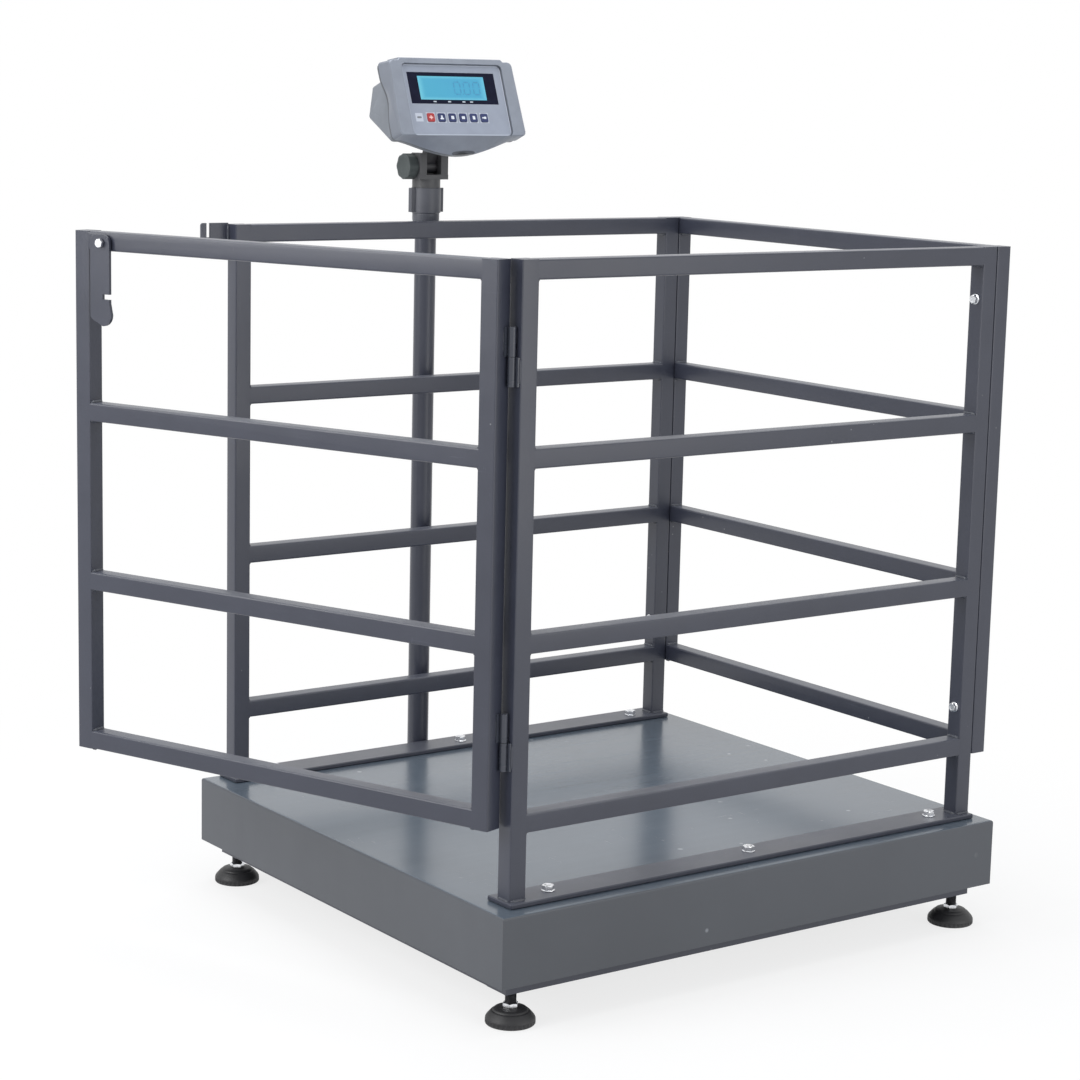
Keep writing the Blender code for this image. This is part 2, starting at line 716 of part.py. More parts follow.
def side_frame(name, outer_face, inward, strip_outset, bolt_row):
    """A side of the pen, welded on its bolted base strip."""
    frame = tube_frame(name, PEN_LENGTH, STRIP_THICKNESS - SINK, RAIL_BOTTOMS)
    low_face = outer_face if inward > 0 else outer_face - TUBE
    frame.data.transform(Matrix.Translation((PEN_GATE_END, low_face, 0)))
    outer = outer_face - inward * strip_outset
    inner = outer + inward * STRIP_WIDTH
    strip = box("base_strip",
                (PEN_GATE_END - STRIP_OVERHANG, min(outer, inner), GAP),
                (PEN_FAR_END - JOIN_STEP, max(outer, inner), STRIP_THICKNESS),
                radius=STRIP_EDGE, segments=1)
    join(frame, strip)
    for start in (PEN_GATE_END, PEN_FAR_END - TUBE):
        cut(frame, box("strip_vent", (start + 2 * TUBE_WALL, low_face + 2 * TUBE_WALL, -SINK),
                       (start + TUBE - 2 * TUBE_WALL, low_face + TUBE - 2 * TUBE_WALL,
                        STRIP_THICKNESS + SINK)))
    cut(frame, *strip_bolt_holes(-SINK, STRIP_THICKNESS + SINK, rows=(bolt_row,)))
    cut(frame, *corner_bolt_holes(low_face + TUBE / 2, PEN_FAR_END - TUBE - SINK,
                                  PEN_FAR_END + SINK))
    return finish_as(frame, FINISHES["frame_paint"])


def corner_bolt_rows():
    return [("front", PEN_FRONT + TUBE / 2), ("rear", PEN_REAR - TUBE / 2)]


def corner_bolt_holes(middle_y, low, high):
    radius = CORNER_BOLT_RADIUS + HOLE_CLEARANCE
    return [cylinder("corner_hole", radius, low, high, (0, middle_y, height), axis=0,
                     sides=SMALL_SIDES) for height in CORNER_BOLT_HEIGHTS]


def end_frame():
    """The far end of the pen, bolted on the side frames' outer faces."""
    frame = tube_frame("end_frame", PEN_WIDTH, RAIL_BOTTOMS[0], RAIL_BOTTOMS)
    inner_face = PEN_FAR_END + GAP
    frame.data.transform(Matrix.Translation((inner_face + TUBE, PEN_FRONT, 0))
                         @ Matrix.Rotation(math.radians(90), 4, "Z"))
    for _, middle_y in corner_bolt_rows():
        cut(frame, *corner_bolt_holes(middle_y, inner_face - SINK, inner_face + TUBE / 2))
    return finish_as(frame, FINISHES["frame_paint"])


def flanged_bolt(name, centre, seat, axis, sign, sizes):
    """A hexagon bolt with a flange, its head on the sign side of its seat."""
    radius, flats, head, flange_radius, flange, grip = sizes

    def span(first, second):
        return sorted((seat + sign * first, seat + sign * second))

    bolt = cylinder(name, radius, *span(-grip, GAP + flange / 2), centre, axis,
                    sides=SMALL_SIDES)
    washer = cylinder("bolt_flange", flange_radius, *span(GAP, GAP + flange), centre, axis)
    top = hexagon("bolt_head", flats, *span(GAP + flange / 2, GAP + flange + head), centre,
                  axis)
    join(bolt, washer, top)
    return finish_as(set_origin(bolt, centre), FINISHES["zinc"])


def strip_bolts():
    sizes = (STRIP_BOLT_RADIUS, STRIP_BOLT_FLATS, STRIP_BOLT_HEAD,
             STRIP_BOLT_FLANGE_RADIUS, STRIP_BOLT_FLANGE, STRIP_BOLT_GRIP)
    for number, (x, y) in enumerate(strip_bolt_places()):
        row = "front" if number < len(STRIP_BOLT_X) else "rear"
        flanged_bolt(f"{row}_strip_bolt_{number % len(STRIP_BOLT_X) + 1}", (x, y, 0),
                     STRIP_THICKNESS, 2, 1, sizes)


def corner_bolts():
    sizes = (CORNER_BOLT_RADIUS, CORNER_BOLT_FLATS, CORNER_BOLT_HEAD,
             CORNER_BOLT_FLANGE_RADIUS, CORNER_BOLT_FLANGE, CORNER_BOLT_GRIP)
    for row, middle_y in corner_bolt_rows():
        for level, height in zip(("lower", "upper"), CORNER_BOLT_HEIGHTS):
            flanged_bolt(f"{row}_{level}_corner_bolt", (PEN_FAR_END - TUBE, middle_y, height),
                         PEN_FAR_END - TUBE, 0, -1, sizes)


def gate_frame():
    """The gate, drawn closed about its hinge axis."""
    frame = tube_frame("gate_frame", GATE_WIDTH, GATE_RAIL_BOTTOMS[0], GATE_RAIL_BOTTOMS)
    frame.data.transform(Matrix.Translation((GATE_INNER_FACE, GATE_FROM_AXIS, 0))
                         @ Matrix.Rotation(math.radians(90), 4, "Z"))
    hole = cylinder("pivot_hole", PIVOT_RADIUS + HOLE_CLEARANCE, GATE_OUTER_FACE - SINK,
                    GATE_OUTER_FACE + TUBE / 2, (0, latch_pivot_y(), LATCH_PIVOT_HEIGHT),
                    axis=0, sides=SMALL_SIDES)
    return finish_as(cut(frame, hole), FINISHES["frame_paint"])


def latch_pivot_y():
    return GATE_FROM_AXIS + GATE_WIDTH - LATCH_FROM_END


def hinge_halves(name, split):
    """The gate's half with its bore, drawn about the axis, and the post's half."""
    low, high = split + HINGE_SPLIT_GAP / 2, split + HINGE_HALF_HEIGHT
    gate_half = cylinder(name + "_gate_half", BARREL_RADIUS, low, high, (0, 0, 0))
    leaf_face = GATE_FROM_AXIS - GAP
    leaf = box("gate_leaf", (-GATE_LEAF_WIDTH, leaf_face - LEAF_THICKNESS, low + JOIN_STEP),
               (GAP, leaf_face, high - JOIN_STEP))
    web = box("gate_leaf_web", (-BARREL_RADIUS * 0.6, 0, low + 2 * JOIN_STEP),
              (-GAP, leaf_face - SINK / 2, high - 2 * JOIN_STEP))
    join(gate_half, leaf, web)
    cut(gate_half, cylinder("pin_bore", PIN_RADIUS + RUNNING_GAP, low - SINK,
                            split + PIN_REACH + SINK, (0, 0, 0)))
    low, high = split - HINGE_HALF_HEIGHT, split - HINGE_SPLIT_GAP / 2
    post_half = cylinder(name + "_post_half", BARREL_RADIUS, low, high, (0, 0, 0))
    leaf_face = HINGE_FROM_POST - GAP
    leaf = box("post_leaf", (leaf_face - LEAF_THICKNESS, -POST_LEAF_WIDTH, low + JOIN_STEP),
               (leaf_face, GAP, high - JOIN_STEP))
    pin = cylinder("hinge_pin", PIN_RADIUS, high - SINK, split + PIN_REACH, (0, 0, 0))
    join(post_half, leaf, pin)
    post_half.location = HINGE_AXIS
    for item in (gate_half, post_half):
        finish_as(item, FINISHES["frame_paint"])
    return gate_half


def lever_outline():
    """The lever hanging from its pivot: across the gate, then height."""
    catch_near = PEN_REAR - CATCH_THICKNESS - (HINGE_AXIS.y + latch_pivot_y())
    notch_top = -(catch_near - NOTCH_SIDE_GAP)
    notch_low = -(catch_near + CATCH_THICKNESS + NOTCH_SIDE_GAP)
    right, left = -LEVER_HINGE_SIDE, LEVER_FREE_SIDE
    crown = arc((right + LEVER_TOP, 0), LEVER_TOP, 180, 90, 4)
    shoulder = arc((left - LEVER_TOP, 0), LEVER_TOP, 90, 0, 4)
    toe = arc((right + 0.014, -LEVER_LENGTH + 0.018), 0.018, 270, 180, 5)
    return (crown + shoulder
            + [(left, -LEVER_LENGTH + 0.014), (left - 0.004, -LEVER_LENGTH + 0.010)]
            + toe
            + [(right, notch_low - 0.006), (right, notch_low),
               (right + NOTCH_DEPTH, notch_low), (right + NOTCH_DEPTH, notch_top),
               (right, notch_top)])


def latch():
    """The hanging lever, its washer and its pivot bolt, drawn about the pivot."""
    near = GATE_OUTER_FACE - WASHER_THICKNESS - 2 * GAP
    far = near - LEVER_THICKNESS
    lever = plate("latch_lever", lever_outline(), far, near, axis=0)
    cut(lever, cylinder("lever_hole", PIVOT_RADIUS + GAP, far - SINK, near + SINK,
                        (0, 0, 0), axis=0))
    washer = cylinder("latch_washer", WASHER_RADIUS, GATE_OUTER_FACE - GAP - WASHER_THICKNESS,
                      GATE_OUTER_FACE - GAP, (0, 0, 0), axis=0)
    cut(washer, cylinder("washer_hole", PIVOT_RADIUS + GAP, -1, 1, (0, 0, 0), axis=0))
    bolt = cylinder("latch_pivot_bolt", PIVOT_RADIUS, far - GAP - PIVOT_HEAD / 2,
                    GATE_OUTER_FACE + PIVOT_GRIP, (0, 0, 0), axis=0, sides=SMALL_SIDES)
    join(bolt, hexagon("pivot_head", PIVOT_FLATS, far - GAP - PIVOT_HEAD, far - GAP,
                       (0, 0, 0), axis=0))
    finish_as(lever, FINISHES["frame_paint"])
    finish_as(washer, FINISHES["black_plastic"])
    finish_as(bolt, FINISHES["zinc"])
    for item in (lever, washer, bolt):
        item.location = (0, latch_pivot_y(), LATCH_PIVOT_HEIGHT)
    return lever, washer, bolt


def latch_catch():
    """The slotted plate on the rear post that the lever drops into."""
    post_face = PEN_GATE_END - GAP
    lever_far = HINGE_AXIS.x + GATE_OUTER_FACE - WASHER_THICKNESS - 2 * GAP - LEVER_THICKNESS
    slot_outer = lever_far - SLOT_SIDE_GAP
    slot_inner = lever_far + LEVER_THICKNESS + SLOT_SIDE_GAP
    slot_bottom = LATCH_PIVOT_HEIGHT - LEVER_HINGE_SIDE + NOTCH_DEPTH - SLOT_REST_GAP
    end = post_face - CATCH_REACH
    corner = CATCH_CORNER
    outline = ([(post_face, CATCH_BOTTOM), (post_face, CATCH_TOP), (slot_inner, CATCH_TOP),
                (slot_inner, slot_bottom), (slot_outer, slot_bottom), (slot_outer, CATCH_TOP)]
               + arc((end + corner, CATCH_TOP - corner), corner, 90, 180, 3)
               + [(end, CATCH_BOTTOM + 0.022), (end + 0.022, CATCH_BOTTOM)])
    catch = plate("latch_catch", outline, PEN_REAR - CATCH_THICKNESS, PEN_REAR, axis=1)
    return finish_as(catch, FINISHES["frame_paint"])


def indicator_pole():
    inner = POLE_RADIUS - POLE_WALL
    pole = turned("indicator_pole", [(inner, POLE_TOP), (POLE_RADIUS, POLE_TOP),
                                     (POLE_RADIUS, POLE_BOTTOM), (inner, POLE_BOTTOM)],
                  (POLE_X, POLE_Y))
    return finish_as(pole, FINISHES["frame_paint"])


def pole_bracket():
    """The bracket on the rear skirt: a plate, and a socket that the pole stands in."""
    centre = (POLE_X, POLE_Y, 0)
    face = DECK_WIDTH / 2 + GAP
    bottom = POLE_BOTTOM - GAP - BRACKET_BASE
    ring_radius = POLE_RADIUS + GAP + BRACKET_RING_WALL
    bracket = box("pole_bracket", (POLE_X - BRACKET_PLATE_WIDTH / 2, face, bottom),
                  (POLE_X + BRACKET_PLATE_WIDTH / 2, face + BRACKET_PLATE_THICKNESS,
                   BRACKET_TOP), round_along=1, radius=0.006)
    join(bracket, cylinder("socket", ring_radius, bottom + JOIN_STEP,
                           BRACKET_TOP - JOIN_STEP, centre))
    cut(bracket, cylinder("socket_bore", POLE_RADIUS + GAP, POLE_BOTTOM - GAP,
                          BRACKET_TOP + SINK, centre))
    return finish_as(bracket, FINISHES["frame_paint"])


def pole_collar():
    """The clamping collar round the pole's top, with a rib down each side."""
    bore = POLE_RADIUS + GAP
    lower = COLLAR_LOWER_RADIUS
    step = 0.002
    collar = turned("pole_collar",
                    [(bore, COLLAR_TOP), (COLLAR_RADIUS, COLLAR_TOP),
                     (COLLAR_RADIUS, COLLAR_BOTTOM), (lower, COLLAR_BOTTOM - step),
                     (lower, COLLAR_BOTTOM - NECK_HEIGHT + step),
                     (COLLAR_CONE_RADIUS, COLLAR_CONE_BOTTOM),
                     (bore, COLLAR_CONE_BOTTOM)], (POLE_X, POLE_Y))
    half = COLLAR_RIB_THICKNESS / 2
    for side in (-1, 1):
        near, far = sorted((POLE_X + side * (POLE_RADIUS + step),
                            POLE_X + side * COLLAR_RIB_REACH))
        join(collar, box("rib", (near, POLE_Y - half, COLLAR_BOTTOM + JOIN_STEP),
                         (far, POLE_Y + half, COLLAR_TOP - JOIN_STEP)))
    return finish_as(collar, FINISHES["frame_paint"])


def swivel_head():
    """The neck that turns on the pole, with its spigot and the tilt joint's two cheeks."""
    spigot = POLE_RADIUS - POLE_WALL - GAP
    head = turned("swivel_head",
                  [(0, NECK_TOP + SINK), (NECK_RADIUS, NECK_TOP + SINK),
                   (NECK_RADIUS, NECK_BOTTOM), (spigot, NECK_BOTTOM),
                   (spigot, POLE_TOP - SPIGOT_LENGTH), (0, POLE_TOP - SPIGOT_LENGTH)],
                  (POLE_X, POLE_Y))
    front, back = POLE_Y - HEAD_HALF_DEPTH, POLE_Y + HEAD_HALF_DEPTH
    join(head, box("head_base", (POLE_X - HEAD_HALF_WIDTH, front, NECK_TOP),
                   (POLE_X + HEAD_HALF_WIDTH, back, NECK_TOP + HEAD_BASE)))
    low = NECK_TOP + HEAD_BASE - SINK
    axis = TILT_AXIS.z
    step = JOIN_STEP
    outline = [(front + step, low), (back - step, low),
               (back - step, axis + CHEEK_BACK_TOP), (POLE_Y + CHEEK_CROWN, axis + CHEEK_TOP),
               (front + step, axis + CHEEK_TOP)]
    for side in (-1, 1):
        near, far = sorted((POLE_X + side * CHEEK_INNER,
                            POLE_X + side * (HEAD_HALF_WIDTH - step)))
        join(head, plate("cheek", outline, near, far, axis=0))
    cut(head, cylinder("cheek_bore", SPINDLE_RADIUS + GAP, POLE_X - 2 * HEAD_HALF_WIDTH,
                       POLE_X + 2 * HEAD_HALF_WIDTH, TILT_AXIS, axis=0, sides=SMALL_SIDES))
    return finish_as(head, FINISHES["black_plastic"])


def underside_line():
    """The rear shell's flat underside seen from its side: two (depth, height) points."""
    return (Vector((-FACE_FORWARD + STEP_SETBACK, FACE_UP + SIDE_BOTTOM + SEAM_STEP)),
            Vector((-FACE_FORWARD + BACK_SETBACK, FACE_UP + BACK_BOTTOM)))


def tilt_bracket():
    """The barrel between the cheeks, its arm and the plate under the indicator."""
    start, end = underside_line()
    along = (end - start).normalized()
    lean = math.atan2(along.y, along.x)
    reach = start.dot(Vector((-along.y, along.x))) - GAP
    arm = box("tilt_bracket", (-ARM_WIDTH / 2, -ARM_THICKNESS / 2, 0),
              (ARM_WIDTH / 2, ARM_THICKNESS / 2, reach - SEAT_THICKNESS / 2))
    seat = box("seat_plate", (-SEAT_WIDTH / 2, SEAT_OFFSET - SEAT_LENGTH / 2,
                              reach - SEAT_THICKNESS),
               (SEAT_WIDTH / 2, SEAT_OFFSET + SEAT_LENGTH / 2, reach),
               round_along=2, radius=0.006)
    join(arm, seat)
    arm.data.transform(Matrix.Rotation(lean, 4, "X"))
    half = CHEEK_INNER - GAP
    join(arm, cylinder("barrel", TILT_BARREL_RADIUS, -half, half, (0, 0, 0), axis=0))
    cut(arm, cylinder("barrel_bore", SPINDLE_RADIUS + GAP, -2 * half, 2 * half, (0, 0, 0),
                      axis=0, sides=SMALL_SIDES))
    return finish_as(arm, FINISHES["black_plastic"])


def tilt_spindle():
    """The through bolt of the tilt joint, with its head opposite the knob."""
    outer = HEAD_HALF_WIDTH + GAP
    spindle = cylinder("tilt_spindle", SPINDLE_RADIUS, -outer - KNOB_BORE_DEPTH,
                       outer + SPINDLE_HEAD / 2, (0, 0, 0), axis=0, sides=SMALL_SIDES)
    join(spindle, cylinder("spindle_head", SPINDLE_HEAD_RADIUS, outer, outer + SPINDLE_HEAD,
                           (0, 0, 0), axis=0))
    spindle.location = TILT_AXIS
    return finish_as(spindle, FINISHES["black_plastic"])


def tilt_knob():
    """The lobed clamping knob, with a blind bore for the spindle."""
    inner = -(HEAD_HALF_WIDTH + GAP)
    outer = inner - KNOB_THICKNESS
    outline = []
    points = KNOB_LOBES * 6
    for i in range(points):
        angle = 2 * math.pi * i / points
        radius = KNOB_RADIUS - KNOB_LOBE_DEPTH * (1 - math.cos(KNOB_LOBES * angle)) / 2
        outline.append((radius * math.cos(angle), radius * math.sin(angle)))
    knob = plate("tilt_knob", outline, outer, inner, axis=0)
    bevel = knob.modifiers.new("Edge", "BEVEL")
    bevel.width = KNOB_EDGE
    bevel.segments = 2
    bevel.angle_limit = math.radians(60)
    apply_modifiers(knob)
    cut(knob, cylinder("knob_bore", SPINDLE_RADIUS + GAP, inner - KNOB_BORE_DEPTH - GAP,
                       inner + SINK, (0, 0, 0), axis=0, sides=SMALL_SIDES))
    smooth(knob)
    knob.location = TILT_AXIS
    return finish_as(knob, FINISHES["knob_plastic"])


def section(half_top, half_bottom, top, ear_drop, bottom, chin_drop, inset=0.0):
    """A closed outline, symmetric about its middle: (across, height) points.

    Its straight top steps down to an ear at each side, its sides run straight between
    round corners, and its chin follows a sine down to the lowest point.
    """
    half_top, half_bottom = half_top - inset, half_bottom - inset
    top, bottom = top - inset, bottom + inset
    ear_top = top - ear_drop
    crown = half_top - EAR_WIDTH
    corner = SHELL_CORNER
    right = [(0.0, top), (crown, top), (crown + EAR_RUN, ear_top)]
    right += arc((half_top - corner, ear_top - corner), corner, 90, 0, 3)
    right += arc((half_bottom - corner, bottom + corner), corner, 0, -90, 3)
    for i in range(CHIN_STEPS + 1):
        share = i / CHIN_STEPS
        drop = chin_drop * math.sin(share * math.pi / 2) ** CHIN_POWER
        right.append(((half_bottom - CHIN_SHOULDER) * (1 - share), bottom - drop))
    left = [(-across, height) for across, height in reversed(right[1:-1])]
    return right + left


def border_section(inset=0.0):
    """The flat border round the label."""
    return section(BORDER_HALF_TOP, BORDER_HALF_BOTTOM, BORDER_TOP, EAR_DROP, SIDE_BOTTOM,
                   0.0, inset)


def rim_section(inset=0.0):
    """The widest outline, at the seam, with the chin below the border."""
    return section(RIM_HALF_TOP, RIM_HALF_BOTTOM, RIM_TOP, EAR_DROP, SIDE_BOTTOM, CHIN_DROP,
                   inset)


def shoulder_section(inset=0.0):
    """The rear shell's outline behind its shoulder, where its lid is lower than the rim."""
    return section(BACK_HALF_TOP, RIM_HALF_BOTTOM - SEAM_STEP, BACK_TOP, 0.0,
                   SIDE_BOTTOM + SEAM_STEP, CHIN_DROP, inset)


def rear_section(setback, inset=0.0):
    """The rear shell's outline behind the chin, between the seam and the flat back."""
    share = (setback - STEP_SETBACK) / (BACK_SETBACK - STEP_SETBACK)

    def mix(first, last):
        return first + (last - first) * share

    return section(BACK_HALF_TOP, mix(RIM_HALF_BOTTOM - SEAM_STEP, BACK_HALF_BOTTOM),
                   BACK_TOP, 0.0, mix(SIDE_BOTTOM + SEAM_STEP, BACK_BOTTOM), 0.0, inset)


def loft(name, sections):
    """A closed skin over sections, each a (setback, outline) pair behind the face."""

    def build(shape):
        rings = []
        for setback, outline in sections:
            depth = -FACE_FORWARD + setback
            rings.append([shape.verts.new((across, depth, FACE_UP + height))
                          for across, height in outline])
        for ring, after in zip(rings, rings[1:]):
            for i in range(len(ring)):
                j = (i + 1) % len(ring)
                shape.faces.new((ring[i], ring[j], after[j], after[i]))
        for end in (0, -1):
            shape.faces.new(rings[end])
        bmesh.ops.recalc_face_normals(shape, faces=shape.faces)

    item = new_object(name, build)
    smooth(item, 25)
    return item


def on_face(across, height, setback):
    return Vector((across, -FACE_FORWARD + setback, FACE_UP + height))


def face_block(name, centre, width, height, near, far, radius=0.0):
    """A block on the indicator's face between two setbacks behind it."""
    low = on_face(centre[0] - width / 2, centre[1] - height / 2, near)
    high = on_face(centre[0] + width / 2, centre[1] + height / 2, far)
    return box(name, low, high, round_along=1, radius=radius, segments=3)


def key_centres():
    return [(KEY_FIRST_X + KEY_PITCH * i, KEY_ROW_HEIGHT) for i in range(KEY_COUNT)]


def key_holes(far):
    size = KEY_SIZE + 2 * KEY_GAP
    return [face_block("key_hole", centre, size, size, -SINK, far, KEY_CORNER)
            for centre in key_centres()]


def boss_centres():
    """Four places at the board's corners."""
    across = BOARD_WIDTH / 2 - BOSS_INSET
    height = BOARD_HEIGHT / 2 - BOSS_INSET
    return [(side_x * across, side_z * height) for side_x, side_z in corners()]


def front_shell():
    """The indicator's front cover, hollow from behind, with its cut-outs and bosses."""
    shell = loft("front_shell",
                 [(-BORDER_PROUD, border_section(BORDER_EDGE)),
                  (BORDER_EDGE - BORDER_PROUD, border_section()),
                  (SEAM_SETBACK, rim_section())])
    hollow = loft("front_hollow",
                  [(FACE_WALL, border_section(SHELL_WALL)),
                   (SEAM_SETBACK, rim_section(SHELL_WALL)),
                   (SEAM_SETBACK + SINK, rim_section(SHELL_WALL))])
    cut(shell, hollow)
    for centre in boss_centres():
        place = on_face(*centre, 0)
        join(shell, cylinder("boss", BOSS_RADIUS, place.y + FACE_WALL - SHELL_WALL / 2,
                             place.y + BOARD_SETBACK - GAP, place, axis=1,
                             sides=SMALL_SIDES))
    margin = 2 * PANEL_MARGIN
    cut(shell, face_block("panel_recess", (0, 0), PANEL_WIDTH + margin,
                          PANEL_HEIGHT + margin, -BORDER_PROUD - SINK,
                          PANEL_THICKNESS + GAP, PANEL_CORNER))
    cut(shell, face_block("display_hole", LCD_CENTRE, LCD_WIDTH + 4 * GAP,
                          LCD_HEIGHT + 4 * GAP, -SINK, 2 * FACE_WALL))
    cut(shell, face_block("bezel_recess", BEZEL_CENTRE, BEZEL_WIDTH + 2 * GAP,
                          BEZEL_HEIGHT + 2 * GAP, -SINK, BEZEL_DEPTH + GAP))
    cut(shell, *key_holes(2 * FACE_WALL))
    smooth(shell, 25)
    return finish_as(shell, FINISHES["shell_plastic"])


def rear_shell():
    """The rear cover, stepped in at the seam, with a low lid and a slanted underside."""
    start = SEAM_SETBACK + GAP
    drop = SHOULDER_SETBACK + SHOULDER_RUN
    shell = loft("rear_shell",
                 [(start, rim_section(SEAM_STEP)), (SHOULDER_SETBACK, rim_section(SEAM_STEP)),
                  (drop, shoulder_section()), (STEP_SETBACK, shoulder_section()),
                  (UNDERSIDE_SETBACK, rear_section(UNDERSIDE_SETBACK)),
                  (BACK_SETBACK, rear_section(BACK_SETBACK))])
    inner = SEAM_STEP + SHELL_WALL
    hollow = loft("rear_hollow",
                  [(start - SINK, rim_section(inner)),
                   (SHOULDER_SETBACK - SHELL_WALL, rim_section(inner)),
                   (drop - SHELL_WALL, shoulder_section(SHELL_WALL)),
                   (STEP_SETBACK, shoulder_section(SHELL_WALL)),
                   (UNDERSIDE_SETBACK, rear_section(UNDERSIDE_SETBACK, SHELL_WALL)),
                   (BACK_SETBACK - SHELL_WALL, rear_section(BACK_SETBACK, SHELL_WALL))])
    cut(shell, hollow)
    smooth(shell, 25)
    return finish_as(shell, FINISHES["shell_plastic"])


def keypad_panel():
    """The film over the face, with openings for the display and the keys."""
    panel = face_block("keypad_panel", (0, 0), PANEL_WIDTH, PANEL_HEIGHT, 0,
                       PANEL_THICKNESS, PANEL_CORNER)
    cut(panel, face_block("display_opening", BEZEL_CENTRE, BEZEL_WIDTH + 2 * GAP,
                          BEZEL_HEIGHT + 2 * GAP, -SINK, 2 * PANEL_THICKNESS))
    cut(panel, *key_holes(2 * PANEL_THICKNESS))
    return finish_as(panel, FINISHES["panel_film"])


def display_bezel():
    """The black frame round the display."""
    bezel = face_block("display_bezel", BEZEL_CENTRE, BEZEL_WIDTH, BEZEL_HEIGHT, 0,
                       BEZEL_DEPTH)
    cut(bezel, face_block("lcd_opening", LCD_CENTRE, LCD_WIDTH + 2 * GAP,
                          LCD_HEIGHT + 2 * GAP, -SINK, 2 * BEZEL_DEPTH))
    return finish_as(bezel, FINISHES["black_plastic"])


def lcd_module():
    """The display itself, seated on the board behind its frame."""
    item = face_block("lcd_module", LCD_CENTRE, LCD_WIDTH, LCD_HEIGHT, LCD_RECESS,
                      BOARD_SETBACK - GAP)
    return finish_as(item, FINISHES["display"])


def main_board():
    item = face_block("main_board", (0, 0), BOARD_WIDTH, BOARD_HEIGHT, BOARD_SETBACK,
                      BOARD_SETBACK + BOARD_THICKNESS)
    return finish_as(item, FINISHES["board"])


def keys():
    """Six push keys, each with its origin at its own middle."""
    made = []
    for number, centre in enumerate(key_centres()):
        name = "power_key" if number == 0 else f"function_key_{number}"
        key = face_block(name, centre, KEY_SIZE, KEY_SIZE, -KEY_PROUD, KEY_DEPTH, KEY_CORNER)
        finish_as(key, FINISHES["red_key" if number == 0 else "navy_key"])
        made.append(set_origin(key, on_face(*centre, 0)))
    return made


def build_platform():
    platform_cover()
    base_frame()
    junction_box()
    for side_x, side_y in corners():
        load_cell(side_x, side_y)
        levelling_foot(side_x, side_y)


def build_pen():
    side_frame("side_frame_front", PEN_FRONT, 1, FRONT_STRIP_OUTSET, FRONT_BOLT_Y)
    side_frame("side_frame_rear", PEN_REAR, -1, REAR_STRIP_OUTSET, REAR_BOLT_Y)
    end_frame()
    strip_bolts()
    corner_bolts()
    latch_catch()


def build_gate():
    hinge = pivot("gate_hinge_axis", HINGE_AXIS,
                  (0, 0, math.radians(GATE_OPEN_DEGREES)))
    hang_on(hinge, gate_frame(), *latch(),
            *(hinge_halves(name, split)
              for name, split in zip(("lower_hinge", "upper_hinge"), HINGE_SPLITS)))


def build_indicator():
    indicator_pole()
    pole_bracket()
    pole_collar()
    swivel_head()
    tilt_spindle()
    tilt_knob()
    tilt = pivot("indicator_tilt_axis", TILT_AXIS,
                 (math.radians(-INDICATOR_TILT_DEGREES), 0, 0))
    hang_on(tilt, tilt_bracket(), front_shell(), rear_shell(), keypad_panel(),
            display_bezel(), lcd_module(), main_board(), *keys())


def stand_on_origin():
    """Moves the scale so that the middle of its outer box stands on the origin."""
    bpy.context.view_layer.update()
    corners_of_all = [item.matrix_world @ vertex.co for item in PARTS.objects
                      if item.type == "MESH" for vertex in item.data.vertices]
    low = Vector([min(point[axis] for point in corners_of_all) for axis in range(3)])
    high = Vector([max(point[axis] for point in corners_of_all) for axis in range(3)])
    foot = Vector(((low.x + high.x) / 2, (low.y + high.y) / 2, low.z))
    for item in PARTS.objects:
        if item.parent is None:
            item.location -= foot


clear_scene()
PARTS = make_collections()
FINISHES = make_finishes()
build_platform()
build_pen()
build_gate()
build_indicator()
stand_on_origin()
bpy.context.view_layer.update()
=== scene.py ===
"""Looks of a livestock scale: a railed weighing platform with a gate and an indicator.

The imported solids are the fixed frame. Each sub-assembly below refines its own solids,
adds the welds, threads, nuts and marks that the real one shows, and dresses them.
"""

from __future__ import annotations

import logging
import math
from collections.abc import Callable, Iterable, Iterator, Sequence
from contextlib import contextmanager
from dataclasses import dataclass, field
from enum import Enum
from functools import reduce
from typing import Any

import bmesh
import bpy
from mathutils import Matrix, Vector

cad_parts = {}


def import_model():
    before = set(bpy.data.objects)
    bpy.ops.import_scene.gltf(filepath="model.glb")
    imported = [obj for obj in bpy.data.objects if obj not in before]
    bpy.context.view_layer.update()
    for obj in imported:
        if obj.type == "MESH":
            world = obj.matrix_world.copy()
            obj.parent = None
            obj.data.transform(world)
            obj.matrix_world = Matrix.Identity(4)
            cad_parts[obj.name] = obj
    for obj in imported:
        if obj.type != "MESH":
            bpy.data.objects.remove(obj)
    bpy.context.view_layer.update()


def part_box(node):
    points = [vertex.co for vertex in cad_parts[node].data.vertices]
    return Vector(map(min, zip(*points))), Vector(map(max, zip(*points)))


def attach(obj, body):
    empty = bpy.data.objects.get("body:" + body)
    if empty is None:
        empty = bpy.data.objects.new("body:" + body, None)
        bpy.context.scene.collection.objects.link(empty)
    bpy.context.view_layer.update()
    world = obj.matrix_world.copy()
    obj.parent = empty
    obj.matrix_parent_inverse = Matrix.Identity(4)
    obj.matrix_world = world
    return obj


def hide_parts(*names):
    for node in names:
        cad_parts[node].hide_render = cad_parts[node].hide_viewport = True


LOG = logging.getLogger("livestock_scale")
FEET = ("front_gate_end", "front_far_end", "rear_gate_end", "rear_far_end")
GATE_AJAR = 20.8
TILT_AXIS = (-0.0375, 0.482, 1.0465)
WHITE = (1.0, 1.0, 1.0)
UPRIGHT = Matrix.Rotation(math.pi / 2, 4, "X")

Colour = tuple[float, float, float]
Number = float | int


